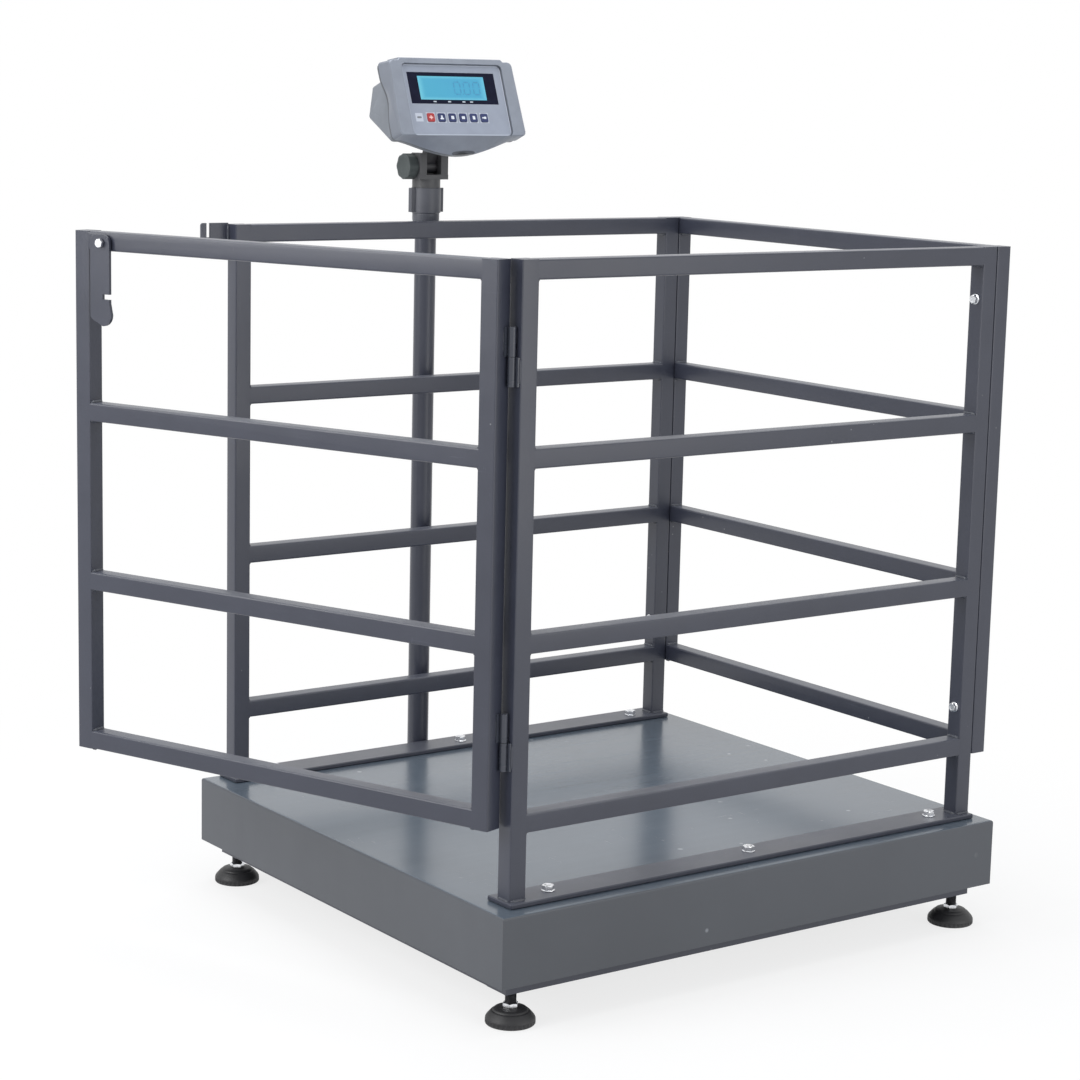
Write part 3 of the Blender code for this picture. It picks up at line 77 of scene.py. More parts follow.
def toned(colour: Colour, factor: float, lift: float = 0.0) -> Colour:
    """A colour times a factor, plus a lift, with no channel over 1."""
    return tuple(min(1.0, channel * factor + lift) for channel in colour)


def part_way(value: float, start: float, end: float) -> float:
    """How far a value has gone from a start to an end, held between 0 and 1."""
    return min(1.0, max(0.0, (value - start) / (end - start)))


# Shader fields and graphs


class Field:
    """A number that varies over a surface, with arithmetic that adds Math nodes."""

    def __init__(self, graph: Graph, socket: bpy.types.NodeSocket) -> None:
        """Wraps a socket of a graph.

        Args:
            graph: the material's graph.
            socket: the output that carries the number.
        """
        self.graph = graph
        self.socket = socket

    def _math(self, operation: str, *values: Field | Number) -> Field:
        """One Math node on the given values."""
        sockets = {i: value for i, value in enumerate(values)}
        node = self.graph.node("ShaderNodeMath", {"operation": operation}, sockets)
        return Field(self.graph, node.outputs[0])

    def __add__(self, other: Field | Number) -> Field:
        """The sum."""
        return self._math("ADD", self, other)

    __radd__ = __add__

    def __sub__(self, other: Field | Number) -> Field:
        """The difference."""
        return self._math("SUBTRACT", self, other)

    def __rsub__(self, other: Field | Number) -> Field:
        """The difference from a number."""
        return self._math("SUBTRACT", other, self)

    def __mul__(self, other: Field | Number) -> Field:
        """The product."""
        return self._math("MULTIPLY", self, other)

    __rmul__ = __mul__

    def __truediv__(self, other: Field | Number) -> Field:
        """The quotient."""
        return self._math("DIVIDE", self, other)

    def __pow__(self, power: Field | Number) -> Field:
        """The power."""
        return self._math("POWER", self, power)

    def __abs__(self) -> Field:
        """The absolute value."""
        return self._math("ABSOLUTE", self)

    def most(self, other: Field | Number) -> Field:
        """The larger of two values."""
        return self._math("MAXIMUM", self, other)

    def least(self, other: Field | Number) -> Field:
        """The smaller of two values."""
        return self._math("MINIMUM", self, other)

    def rise(self, low: float, high: float) -> Field:
        """A smooth step.

        Args:
            low: where the result is 0.
            high: where the result is 1.

        Returns:
            The step, held between 0 and 1.
        """
        node = self.graph.node("ShaderNodeMapRange", {"interpolation_type": "SMOOTHSTEP"},
                               {"Value": self, "From Min": low, "From Max": high})
        return Field(self.graph, node.outputs[0])

    def near(self, centre: float, reach: float, blur: float) -> Field:
        """1 within reach of a centre, fading to 0 over blur.

        Args:
            centre: the middle of the band.
            reach: half of the band's width.
            blur: the width of its soft edge.

        Returns:
            The band, between 0 and 1.
        """
        return 1 - abs(self - centre).rise(reach, reach + blur)


class Graph:
    """A material's node tree, with a Principled shader at its end."""

    def __init__(self, name: str) -> None:
        """Starts a material.

        Args:
            name: the material's name.
        """
        self.material = bpy.data.materials.new(name)
        self.material.use_nodes = True
        self.tree = self.material.node_tree
        self.shader = self.tree.nodes["Principled BSDF"]
        self.output = self.tree.nodes["Material Output"]

    def node(self, kind: str, settings: dict[str, Any] | None = None,
             sockets: dict[int | str, Any] | None = None) -> bpy.types.Node:
        """Adds a node.

        Args:
            kind: the node's type.
            settings: its properties, set before its inputs.
            sockets: values or links of its inputs, by name or number.

        Returns:
            The new node.
        """
        node = self.tree.nodes.new(kind)
        for key, value in (settings or {}).items():
            setattr(node, key, value)
        for key, value in (sockets or {}).items():
            self.plug(node.inputs[key], value)
        return node

    def plug(self, target: bpy.types.NodeSocket, value: Any) -> None:
        """Links a field or socket to an input, or sets the input's own value."""
        if isinstance(value, Field):
            value = value.socket
        if isinstance(value, bpy.types.NodeSocket):
            self.tree.links.new(value, target)
        elif isinstance(value, tuple) and len(value) == 3 and target.type == "RGBA":
            target.default_value = (*value, 1.0)
        else:
            target.default_value = value

    def set(self, **values: Any) -> None:
        """Sets or links inputs of the Principled shader, with _ for a space."""
        for key, value in values.items():
            self.plug(self.shader.inputs[key.replace("_", " ")], value)

    def place(self) -> bpy.types.NodeSocket:
        """The surface's place in the object's own coordinates, in metres."""
        return self.node("ShaderNodeTexCoord").outputs["Object"]

    def facing(self, direction: Vector) -> Field:
        """How far the surface faces a direction: 1 where it faces it squarely."""
        normal = self.node("ShaderNodeTexCoord").outputs["Normal"]
        along = self.node("ShaderNodeVectorMath", {"operation": "DOT_PRODUCT"},
                          {0: normal, 1: tuple(direction)})
        return Field(self, along.outputs["Value"])

    def upward(self) -> Field:
        """How far the surface faces up: 1 on top faces."""
        return self.facing(Vector((0, 0, 1)))

    def axis(self, direction: Vector, origin: Vector) -> Field:
        """Distance along a direction from an origin.

        Args:
            direction: the unit direction.
            origin: where the distance is 0.

        Returns:
            The distance in metres.
        """
        away = self.node("ShaderNodeVectorMath", {"operation": "SUBTRACT"},
                         {0: self.place(), 1: tuple(origin)})
        along = self.node("ShaderNodeVectorMath", {"operation": "DOT_PRODUCT"},
                          {0: away.outputs[0], 1: tuple(direction)})
        return Field(self, along.outputs["Value"])

    def stretched(self, scale: Colour, turn: float = 0.0) -> bpy.types.NodeSocket:
        """The place, scaled along each axis and turned about Z."""
        node = self.node("ShaderNodeMapping", None,
                         {"Vector": self.place(), "Scale": scale, "Rotation": (0, 0, turn)})
        return node.outputs[0]

    def noise(self, scale: float, detail: float = 3.0, rough: float = 0.5,
              at: bpy.types.NodeSocket | None = None) -> Field:
        """Fractal noise about 0.5.

        Args:
            scale: how fine the noise is, in cells per metre.
            detail: the number of octaves.
            rough: how strong the finer octaves are.
            at: the coordinates, or None for the place.

        Returns:
            The noise.
        """
        node = self.node("ShaderNodeTexNoise", None,
                         {"Vector": at or self.place(), "Scale": scale, "Detail": detail,
                          "Roughness": rough})
        return Field(self, node.outputs[0])

    def specks(self, scale: float, size: float, blur: float) -> Field:
        """Round specks at random places: 1 in a speck."""
        node = self.node("ShaderNodeTexVoronoi", {"feature": "F1"},
                         {"Vector": self.place(), "Scale": scale})
        return 1 - Field(self, node.outputs["Distance"]).rise(size, size + blur)

    def mix(self, share: Field | Number, first: Any, second: Any) -> bpy.types.NodeSocket:
        """A colour between two colours.

        Args:
            share: 0 for the first, 1 for the second.
            first: a colour or a colour socket.
            second: a colour or a colour socket.

        Returns:
            The mixed colour's socket.
        """
        node = self.node("ShaderNodeMix", {"data_type": "RGBA"},
                         {0: share, 6: first, 7: second})
        return node.outputs[2]

    def shaded(self, share: Field | Number, colour: Colour, dark: float,
               light: float) -> bpy.types.NodeSocket:
        """A colour that goes from a darker tone of itself to a lighter one."""
        return self.mix(share, toned(colour, dark), toned(colour, light))

    def bump(self, height: Field, distance: float, strength: float = 1.0,
             after: bpy.types.NodeSocket | None = None) -> bpy.types.NodeSocket:
        """A bumped normal.

        Args:
            height: the height field.
            distance: the height in metres of a step of 1.
            strength: the share of the bump that is used.
            after: a normal that this bump is added to.

        Returns:
            The normal's socket.
        """
        sockets: dict[int | str, Any] = {"Height": height, "Distance": distance,
                                         "Strength": strength}
        if after is not None:
            sockets["Normal"] = after
        return self.node("ShaderNodeBump", None, sockets).outputs[0]


# Finishes


@dataclass(frozen=True)
class PaintedSteel:
    """Powder-coated steel: orange peel, dust and painted light on top faces, fine scratches and
    chips.
    """

    name: str
    colour: Colour
    # The colour of the dust, and of the painted light on top faces.
    dust: Colour
    roughness: float
    peel: float = 0.00012
    dust_and_top_light_share: float = 0.40
    worn: float = 0.55
    gloss: float = 0.10
    gloss_blur: float = 0.18

    def make(self) -> bpy.types.Material:
        """Builds the material."""
        g = Graph(self.name)
        broad = g.noise(3.2, 4.0)
        cloudy = g.noise(19.0, 3.0, 0.6)
        tone = ((broad - 0.5) * 0.30 + (cloudy - 0.5) * 0.22 + 0.5).rise(0.30, 0.70)
        paint = g.shaded(tone, self.colour, 0.88, 1.14)
        # Top faces are drawn towards the dust colour: real dust, mixed with painted light
        # falling from above.
        dust_and_top_light = g.upward().rise(0.55, 0.95) * (
            g.noise(7.0, 5.0, 0.65).rise(0.32, 0.72) * 0.6 + 0.4)
        paint = g.mix(dust_and_top_light * self.dust_and_top_light_share, paint, self.dust)
        across = g.noise(1.0, 4.0, 0.7, g.stretched((9.0, 9.0, 420.0)))
        along = g.noise(1.0, 4.0, 0.7, g.stretched((260.0, 14.0, 14.0), 0.35))
        patch = g.noise(11.0, 2.0).rise(0.48, 0.62)
        scratch = (across.rise(0.66, 0.70) + along.rise(0.67, 0.71)) * patch
        chip = g.specks(46.0, 0.045, 0.02) * g.noise(6.0, 2.0).rise(0.56, 0.62)
        paint = g.mix((scratch * 0.30).least(1.0), paint, toned(self.colour, 1.9, 0.03))
        paint = g.mix(chip * self.worn, paint, (0.34, 0.35, 0.36))
        rough = self.roughness + (cloudy - 0.5) * 0.16 + dust_and_top_light * 0.10 + scratch * 0.06
        peel = g.noise(640.0, 2.0, 0.55)
        pits = g.specks(900.0, 0.10, 0.25)
        normal = g.bump(peel - pits * 0.35, self.peel, 0.55)
        normal = g.bump(1 - (chip + scratch * 0.25), 0.00006, 0.7, normal)
        g.set(Base_Color=paint, Roughness=rough, Normal=normal,
              Coat_Weight=self.gloss - chip * 0.3 - scratch * 0.1,
              Coat_Roughness=self.gloss_blur)
        return g.material


@dataclass(frozen=True)
class DeckPaint:
    """Smooth glossy paint on the deck, rubbed in long soft strokes and lightly scuffed."""

    name: str
    colour: Colour
    skirt: Colour

    def make(self) -> bpy.types.Material:
        """Builds the material."""
        g = Graph(self.name)
        top = g.upward().rise(0.5, 0.9)
        broad = g.noise(2.4, 5.0, 0.6)
        strokes = g.noise(1.0, 5.0, 0.62, g.stretched((2.2, 34.0, 2.0), 0.08))
        brushed = g.noise(1.0, 4.0, 0.6, g.stretched((130.0, 5.0, 5.0), -0.2))
        tone = ((broad - 0.5) * 0.6 + (strokes - 0.5) * 0.25 + 0.5).rise(0.25, 0.75)
        deck = g.shaded(tone, self.colour, 0.88, 1.12)
        skirt = g.shaded(broad.rise(0.3, 0.7), self.skirt, 0.93, 1.07)
        colour = g.mix(top, skirt, deck)
        fine = g.noise(1.0, 5.0, 0.7, g.stretched((16.0, 540.0, 16.0), 0.5))
        cross = g.noise(1.0, 5.0, 0.7, g.stretched((480.0, 15.0, 15.0), 0.3))
        scuffed = g.noise(5.0, 3.0).rise(0.47, 0.60) * top
        scuff = (fine.rise(0.66, 0.72) + cross.rise(0.66, 0.72)).least(1.0) * scuffed
        colour = g.mix(scuff * 0.24, colour, (0.32, 0.34, 0.38))
        mark = g.specks(17.0, 0.05, 0.05) * g.noise(3.3, 2.0).rise(0.55, 0.6)
        colour = g.mix(mark * 0.5, colour, (0.42, 0.44, 0.47))
        rough = (0.38 - top * 0.15 + (strokes - 0.5) * 0.10 + (brushed - 0.5) * 0.05
                 + scuff * 0.08)
        peel = g.noise(520.0, 2.0, 0.5)
        wave = g.noise(9.0, 2.0, 0.4)
        normal = g.bump(peel, 0.00010, 0.35)
        normal = g.bump(wave, 0.0009, 0.35, normal)
        normal = g.bump(1 - scuff, 0.00005, 0.6, normal)
        g.set(Base_Color=colour, Roughness=rough, Normal=normal,
              Coat_Weight=top * (0.16 - scuff * 0.08), Coat_Roughness=0.16)
        return g.material


@dataclass(frozen=True)
class PlatedSteel:
    """Bright plated metal with faint turning lines and a mottled bloom."""

    name: str
    colour: Colour
    shade: Colour
    roughness: float
    metallic: float = 1.0

    def make(self) -> bpy.types.Material:
        """Builds the material."""
        g = Graph(self.name)
        bloom = g.noise(150.0, 4.0, 0.6)
        stain = g.noise(38.0, 3.0).rise(0.42, 0.68)
        colour = g.mix(bloom.rise(0.35, 0.65) * 0.5 + stain * 0.35, self.colour, self.shade)
        lines = g.noise(1.0, 3.0, 0.7, g.stretched((90.0, 90.0, 2600.0)))
        rough = self.roughness + (bloom - 0.5) * 0.20 + stain * 0.08
        g.set(Base_Color=colour, Roughness=rough, Metallic=self.metallic,
              Normal=g.bump(lines, 0.00004, 0.5))
        return g.material


@dataclass(frozen=True)
class Face:
    """The indicator face's own axes: across, up and towards the back."""

    origin: Vector
    across: Vector
    up: Vector

    @property
    def back(self) -> Vector:
        """The direction from the face into the indicator."""
        return self.up.cross(self.across)

    def fields(self, g: Graph) -> tuple[Field, Field]:
        """The across and height fields of a graph, in metres."""
        return g.axis(self.across, self.origin), g.axis(self.up, self.origin)


@dataclass(frozen=True)
class Scoop:
    """A shallow hollow, where painted shade goes: the place and the half sizes of the ellipsoid
    that cuts it.
    """

    place: Matrix
    size: tuple[float, float, float]

    def inside(self, g: Graph) -> Field:
        """The mask of the painted shade: 1 on the hollow's own surface, fading just outside of
        it.
        """
        turn = self.place.to_3x3()
        away: Field | float = 0.0
        for i, half in enumerate(self.size):
            share = g.axis(turn.col[i].normalized(), self.place.translation) / half
            away = share * share + away
        return 1 - away.rise(1.02, 1.16)


@dataclass(frozen=True)
class Moulded:
    """A moulded plastic or rubber with a fine grain and rubbed, dusty patches, and where asked
    painted shade on its flanks, in a hollow and behind the seam.
    """

    name: str
    colour: Colour
    rubbed: Colour
    roughness: float
    grain: float = 1500.0
    depth: float = 0.00006
    coarse: float = 0.0
    face: Face | None = None
    # Where painted shade darkens the band behind the seam, as distances behind the face.
    seam: tuple[float, float] | None = None
    # The share of painted shade on the faces that look to either side.
    flank: float = 0.0
    # A hollow whose inside gets painted shade.
    scoop: Scoop | None = None

    def make(self) -> bpy.types.Material:
        """Builds the material."""
        g = Graph(self.name)
        cloud = g.noise(26.0, 4.0, 0.6)
        patch = g.noise(9.0, 3.0).rise(0.40, 0.75)
        colour = g.shaded(cloud.rise(0.3, 0.7), self.colour, 0.93, 1.06)
        dust = patch * 0.30 + g.upward().rise(0.3, 1.0) * 0.22
        colour = g.mix(dust, colour, self.rubbed)
        # Painted shade: the faces that look to either side are darkened.
        if self.face is not None and self.flank:
            side = abs(g.facing(self.face.across)).rise(0.40, 0.80)
            colour = g.mix(side * self.flank, colour, toned(self.colour, 0.55))
        if self.scoop is not None:
            # Painted shade in the thumb recess: its inside is darkened.
            colour = g.mix(self.scoop.inside(g) * 0.7, colour, (0.045, 0.050, 0.060))
        # Painted shade on the band just behind the front shell's back edge, at the seam.
        if self.face is not None and self.seam is not None:
            shade = 1 - g.axis(self.face.back, self.face.origin).rise(*self.seam)
            colour = g.mix(shade * 0.75, colour, (0.02, 0.022, 0.026))
        grain = g.noise(self.grain, 2.0, 0.5)
        rough = self.roughness + (cloud - 0.5) * 0.14 + (grain - 0.5) * 0.08
        normal = g.bump(grain, self.depth, 0.8)
        if self.coarse:
            normal = g.bump(g.noise(210.0, 3.0), self.coarse, 0.6, normal)
        g.set(Base_Color=colour, Roughness=rough, Normal=normal)
        return g.material


@dataclass(frozen=True)
class LabelFilm:
    """The satin film: a pale border line and pale halos round the keys."""

    name: str
    colour: Colour
    pale: Colour
    face: Face
    half: tuple[float, float]
    keys: tuple[tuple[float, float], ...]
    lamp: tuple[float, float]
    key_halo: float = 0.0089
    lamp_halo: float = 0.0072

    def make(self) -> bpy.types.Material:
        """Builds the material."""
        g = Graph(self.name)
        u, v = self.face.fields(g)
        wide, tall = self.half
        cloud = g.noise(34.0, 3.0)
        colour = g.shaded(cloud.rise(0.3, 0.7), self.colour, 0.96, 1.04)
        low = v.rise(-tall, tall * 0.6)
        colour = g.mix(low * 0.25, colour, toned(self.colour, 0.9))
        edge = abs(u).rise(wide - 0.0022, wide - 0.0014).most(
            abs(v).rise(tall - 0.0022, tall - 0.0014))
        colour = g.mix(edge * 0.75, colour, self.pale)
        squares = [(*key, self.key_halo) for key in self.keys]
        squares.append((*self.lamp, self.lamp_halo))
        halo = reduce(Field.most, (u.near(across, reach, 0.0006) * v.near(height, reach, 0.0006)
                                   for across, height, reach in squares))
        colour = g.mix(halo * 0.8, colour, self.pale)
        rough = 0.42 + (cloud - 0.5) * 0.1 + edge * 0.05
        g.set(Base_Color=colour, Roughness=rough,
              Normal=g.bump(g.noise(2600.0, 2.0), 0.00002, 0.8))
        return g.material


@dataclass(frozen=True)
class BezelGloss:
    """The black window frame, with four short pale ticks under the display."""

    name: str
    face: Face
    ticks: tuple[float, ...]
    height: float

    def make(self) -> bpy.types.Material:
        """Builds the material."""
        g = Graph(self.name)
        u, v = self.face.fields(g)
        tick = reduce(Field.most, (u.near(across, 0.0028, 0.0005)
                                   * v.near(self.height, 0.0009, 0.0004)
                                   for across in self.ticks))
        smear = g.noise(60.0, 4.0, 0.6)
        colour = g.mix(smear.rise(0.4, 0.8) * 0.4, (0.007, 0.008, 0.022), (0.018, 0.020, 0.045))
        colour = g.mix(tick * 0.85, colour, (0.62, 0.68, 0.75))
        g.set(Base_Color=colour, Roughness=0.34 + (smear - 0.5) * 0.12,
              Normal=g.bump(smear, 0.00002, 0.5), Specular_IOR_Level=0.08)
        return g.material


@dataclass(frozen=True)
class LitDisplay:
    """The lit screen: brighter at its edges, with the fine grid of its segments."""

    name: str
    face: Face
    centre: tuple[float, float]
    half: tuple[float, float]
    colour: Colour
    edge: Colour

    def make(self) -> bpy.types.Material:
        """Builds the material."""
        g = Graph(self.name)
        u, v = self.face.fields(g)
        wide, tall = self.half
        rim = abs(u - self.centre[0]).rise(wide * 0.80, wide).most(
            abs(v - self.centre[1]).rise(tall * 0.70, tall))
        lamp = u.rise(self.centre[0] - wide, self.centre[0] + wide * 0.4)
        colour = g.mix(rim * 0.65, self.colour, self.edge)
        colour = g.mix(lamp * 0.18, colour, (0.05, 0.33, 0.66))
        fine = g.noise(900.0, 2.0)
        colour = g.mix(fine.rise(0.4, 0.7) * 0.12, colour, (0.05, 0.36, 0.58))
        g.set(Base_Color=g.mix(0.6, colour, (0.0, 0.0, 0.0)), Roughness=0.22 + fine * 0.06,
              Emission_Color=colour, Emission_Strength=0.53)
        return g.material


@dataclass(frozen=True)
class Plain:
    """A small printed or moulded mark: one colour with a faint cloud and grain."""

    name: str
    colour: Colour
    roughness: float = 0.45
    glow: float = 0.0

    def make(self) -> bpy.types.Material:
        """Builds the material."""
        g = Graph(self.name)
        cloud = g.noise(300.0, 3.0)
        colour = g.shaded(cloud.rise(0.3, 0.7), self.colour, 0.9, 1.08)
        g.set(Base_Color=colour, Roughness=self.roughness + (cloud - 0.5) * 0.1,
              Normal=g.bump(cloud, 0.00002, 0.5), Emission_Color=colour,
              Emission_Strength=self.glow)
        return g.material


class Coat(Enum):
    """The finishes that pieces are dressed in."""

    # After each painted steel's own colour comes the colour of its dust and painted top light.
    FRAME = PaintedSteel("slate_powder_coat", (0.037, 0.041, 0.060), (0.16, 0.17, 0.20), 0.33)
    DECK = DeckPaint("slate_deck_gloss", (0.094, 0.119, 0.150), (0.068, 0.074, 0.086))
    # A lighter, glossier copy of the frame's paint, for the welds and the hinge halves: its
    # lighter colour is a painted sheen.
    WELD = PaintedSteel("frame_paint_with_painted_sheen", (0.044, 0.049, 0.065), (0.20, 0.21, 0.24), 0.27,
                        0.00022, 0.25, 0.3)
    ZINC = PlatedSteel("bright_zinc_plate", (0.90, 0.91, 0.93), (0.66, 0.68, 0.72), 0.20)
    ALLOY = PlatedSteel("machined_cell_alloy", (0.62, 0.63, 0.65), (0.50, 0.51, 0.53), 0.34)
    STUD = PlatedSteel("blackened_thread", (0.045, 0.046, 0.050), (0.11, 0.11, 0.12), 0.36, 0.85)
    RUBBER = Moulded("foot_rubber", (0.014, 0.014, 0.016), (0.050, 0.050, 0.052), 0.50,
                     900.0, 0.00010, 0.00012)
    JOINT = Moulded("joint_plastic", (0.022, 0.022, 0.026), (0.060, 0.062, 0.066), 0.42)
    NECK = Moulded("neck_plastic", (0.062, 0.063, 0.066), (0.10, 0.10, 0.11), 0.42)
    COLLAR = Moulded("collar_paint", (0.078, 0.082, 0.100), (0.14, 0.145, 0.16), 0.42)
    KNOB = Moulded("knob_plastic", (0.066, 0.076, 0.074), (0.13, 0.14, 0.14), 0.46)
    SHELL = Moulded("shell_plastic", (0.250, 0.275, 0.325), (0.34, 0.37, 0.42), 0.40,
                    1300.0, 0.00009)
    RED = Moulded("red_key_cap", (0.38, 0.030, 0.032), (0.46, 0.09, 0.08), 0.38)
    NAVY = Moulded("navy_key_cap", (0.014, 0.025, 0.105), (0.035, 0.05, 0.15), 0.38)
    BOARD = Moulded("circuit_board", (0.02, 0.12, 0.05), (0.05, 0.18, 0.09), 0.45)
    PALE_MARK = Plain("pale_mark", (0.72, 0.76, 0.82))
    PINK_MARK = Plain("pink_mark", (0.82, 0.52, 0.50))
    LAMP = Plain("lamp_window", (0.20, 0.215, 0.24), 0.25)
    SEGMENT = Plain("display_segment", (0.040, 0.22, 0.38), 0.35, 0.22)

    @property
    def material(self) -> bpy.types.Material:
        """The finish's material, built at its first use."""
        made = bpy.data.materials.get(self.value.name)
        return made if made is not None else self.value.make()


# The modelling bench


class Bench:
    """Blender's own modelling operators, used on one piece at a time."""

    @staticmethod
    def clear() -> None:
        """Leaves nothing selected."""
        bpy.ops.object.select_all(action="DESELECT")

    @classmethod
    def take(cls, piece: bpy.types.Object) -> None:
        """Makes one piece selected and active."""
        cls.clear()
        piece.select_set(True)
        bpy.context.view_layer.objects.active = piece

    @classmethod
    @contextmanager
    def editing(cls, piece: bpy.types.Object) -> Iterator[None]:
        """Edit mode on one piece, left again at the end."""
        cls.take(piece)
        bpy.ops.object.mode_set(mode="EDIT")
        try:
            yield
        finally:
            bpy.ops.object.mode_set(mode="OBJECT")

    @staticmethod
    def pick(piece: bpy.types.Object, test: Callable[[Any], bool], kind: str = "FACE") -> None:
        """Selects elements in edit mode by a test.

        Args:
            piece: the piece in edit mode.
            test: true for the elements to select.
            kind: FACE, EDGE or VERT.
        """
        bpy.ops.mesh.select_mode(type=kind)
        shape = bmesh.from_edit_mesh(piece.data)
        for group in (shape.verts, shape.edges, shape.faces):
            for element in group:
                element.select = False
        for element in {"FACE": shape.faces, "EDGE": shape.edges, "VERT": shape.verts}[kind]:
            if test(element):
                element.select = True
        shape.select_flush_mode()
        bmesh.update_edit_mesh(piece.data)

    @classmethod
    def reshape(cls, piece: bpy.types.Object, change: Callable[[Any], None]) -> None:
        """Moves each vertex of a piece as a function says."""
        with cls.editing(piece):
            shape = bmesh.from_edit_mesh(piece.data)
            for vert in shape.verts:
                change(vert)
            bmesh.update_edit_mesh(piece.data)

    @staticmethod
    def drop(*pieces: bpy.types.Object) -> None:
        """Removes pieces that have been used up."""
        for piece in pieces:
            bpy.data.objects.remove(piece, do_unlink=True)

    @staticmethod
    def named(name: str) -> bpy.types.Object:
        """Names the new primitive and returns it."""
        piece = bpy.context.active_object
        piece.name = name
        piece.data.name = name
        return piece

    @classmethod
    def drum(cls, name: str, radius: float, low: float, high: float,
             sides: int = 48) -> bpy.types.Object:
        """A capped cylinder on the Z axis."""
        cls.clear()
        bpy.ops.mesh.primitive_cylinder_add(vertices=sides, radius=radius, depth=high - low,
                                            location=(0, 0, (low + high) / 2))
        piece = cls.named(name)
        cls.settle(piece)
        return piece

    @classmethod
    def block(cls, name: str, low: Sequence[float], high: Sequence[float]) -> bpy.types.Object:
        """A box between two corners."""
        cls.clear()
        middle = [(a + b) / 2 for a, b in zip(low, high)]
        bpy.ops.mesh.primitive_cube_add(size=1.0, location=middle)
        piece = cls.named(name)
        piece.scale = [b - a for a, b in zip(low, high)]
        cls.settle(piece)
        return piece

    @classmethod
    def settle(cls, piece: bpy.types.Object) -> None:
        """Applies the piece's place, turn and scale to its mesh."""
        cls.take(piece)
        bpy.ops.object.transform_apply(location=True, rotation=True, scale=True)

    @classmethod
    def move(cls, piece: bpy.types.Object, matrix: Matrix) -> bpy.types.Object:
        """Puts a piece in place through a matrix, applied to its mesh."""
        piece.matrix_world = matrix @ piece.matrix_world
        cls.settle(piece)
        return piece

    @classmethod
    def copy(cls, piece: bpy.types.Object, name: str) -> bpy.types.Object:
        """A copy with its own mesh."""
        twin = piece.copy()
        twin.data = piece.data.copy()
        twin.name = name
        twin.data.name = name
        twin.parent = None
        twin.matrix_world = Matrix.Identity(4)
        for key in list(twin.keys()):
            if key.startswith("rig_"):
                del twin[key]
        bpy.context.scene.collection.objects.link(twin)
        return twin

    @classmethod
    def modify(cls, piece: bpy.types.Object, kind: str, **settings: Any) -> None:
        """Adds a modifier and applies it.

        Args:
            piece: the piece.
            kind: the modifier's type.
            settings: the modifier's properties.
        """
        cls.take(piece)
        modifier = piece.modifiers.new(kind.title(), kind)
        for key, value in settings.items():
            setattr(modifier, key, value)
        bpy.ops.object.modifier_apply(modifier=modifier.name)

    @classmethod
    def soften(cls, piece: bpy.types.Object, width: float, segments: int = 2,
               angle: float = 30.0) -> None:
        """Rounds the sharp edges."""
        cls.modify(piece, "BEVEL", width=width, segments=segments, limit_method="ANGLE",
                   angle_limit=math.radians(angle), use_clamp_overlap=True)

    @classmethod
    def shade(cls, piece: bpy.types.Object, degrees: float = 40.0) -> bpy.types.Object:
        """Smooth shading, sharp past an angle."""
        cls.take(piece)
        bpy.ops.object.shade_smooth_by_angle(angle=math.radians(degrees))
        return piece

    @classmethod
    def even(cls, piece: bpy.types.Object, degrees: float = 46.0) -> bpy.types.Object:
        """Smooth shading that keeps the wide faces flat beside their rounded edges."""
        cls.shade(piece, degrees)
        cls.modify(piece, "WEIGHTED_NORMAL", mode="FACE_AREA", weight=50, keep_sharp=True)
        return piece

    @classmethod
    def clean(cls, piece: bpy.types.Object, flat: bool = True) -> None:
        """Merges doubles, joins flat faces and turns all faces outwards."""
        with cls.editing(piece):
            bpy.ops.mesh.select_all(action="SELECT")
            bpy.ops.mesh.remove_doubles(threshold=0.00001)
            if flat:
                bpy.ops.mesh.dissolve_limited(angle_limit=math.radians(0.6))
            bpy.ops.mesh.normals_make_consistent(inside=False)

    @classmethod
    def combine(cls, piece: bpy.types.Object, other: bpy.types.Object,
                operation: str = "UNION") -> bpy.types.Object:
        """A Boolean with another piece, which is then removed."""
        cls.modify(piece, "BOOLEAN", object=other, operation=operation, solver="EXACT")
        cls.drop(other)
        return piece

    @classmethod
    def gather(cls, pieces: Sequence[bpy.types.Object], name: str) -> bpy.types.Object:
        """Joins separate shells into one object."""
        cls.clear()
        for piece in pieces:
            piece.select_set(True)
        bpy.context.view_layer.objects.active = pieces[0]
        bpy.ops.object.join()
        return cls.named(name)

    @classmethod
    def chain(cls, name: str, start: Sequence[float],
              moves: Iterable[Sequence[float]]) -> bpy.types.Object:
        """An open chain of edges: a single vertex, extruded by one move after another."""
        cls.clear()
        bpy.ops.mesh.primitive_plane_add(size=0.01, location=(0, 0, 0))
        piece = cls.named(name)
        with cls.editing(piece):
            cls.pick(piece, lambda vert: vert.index > 0, "VERT")
            bpy.ops.mesh.delete(type="VERT")
            shape = bmesh.from_edit_mesh(piece.data)
            shape.verts.ensure_lookup_table()
            shape.verts[0].co = start
            shape.verts[0].select = True
            shape.select_flush_mode()
            bmesh.update_edit_mesh(piece.data)
            for move in moves:
                bpy.ops.mesh.extrude_region_move(TRANSFORM_OT_translate={"value": tuple(move)})
        return piece

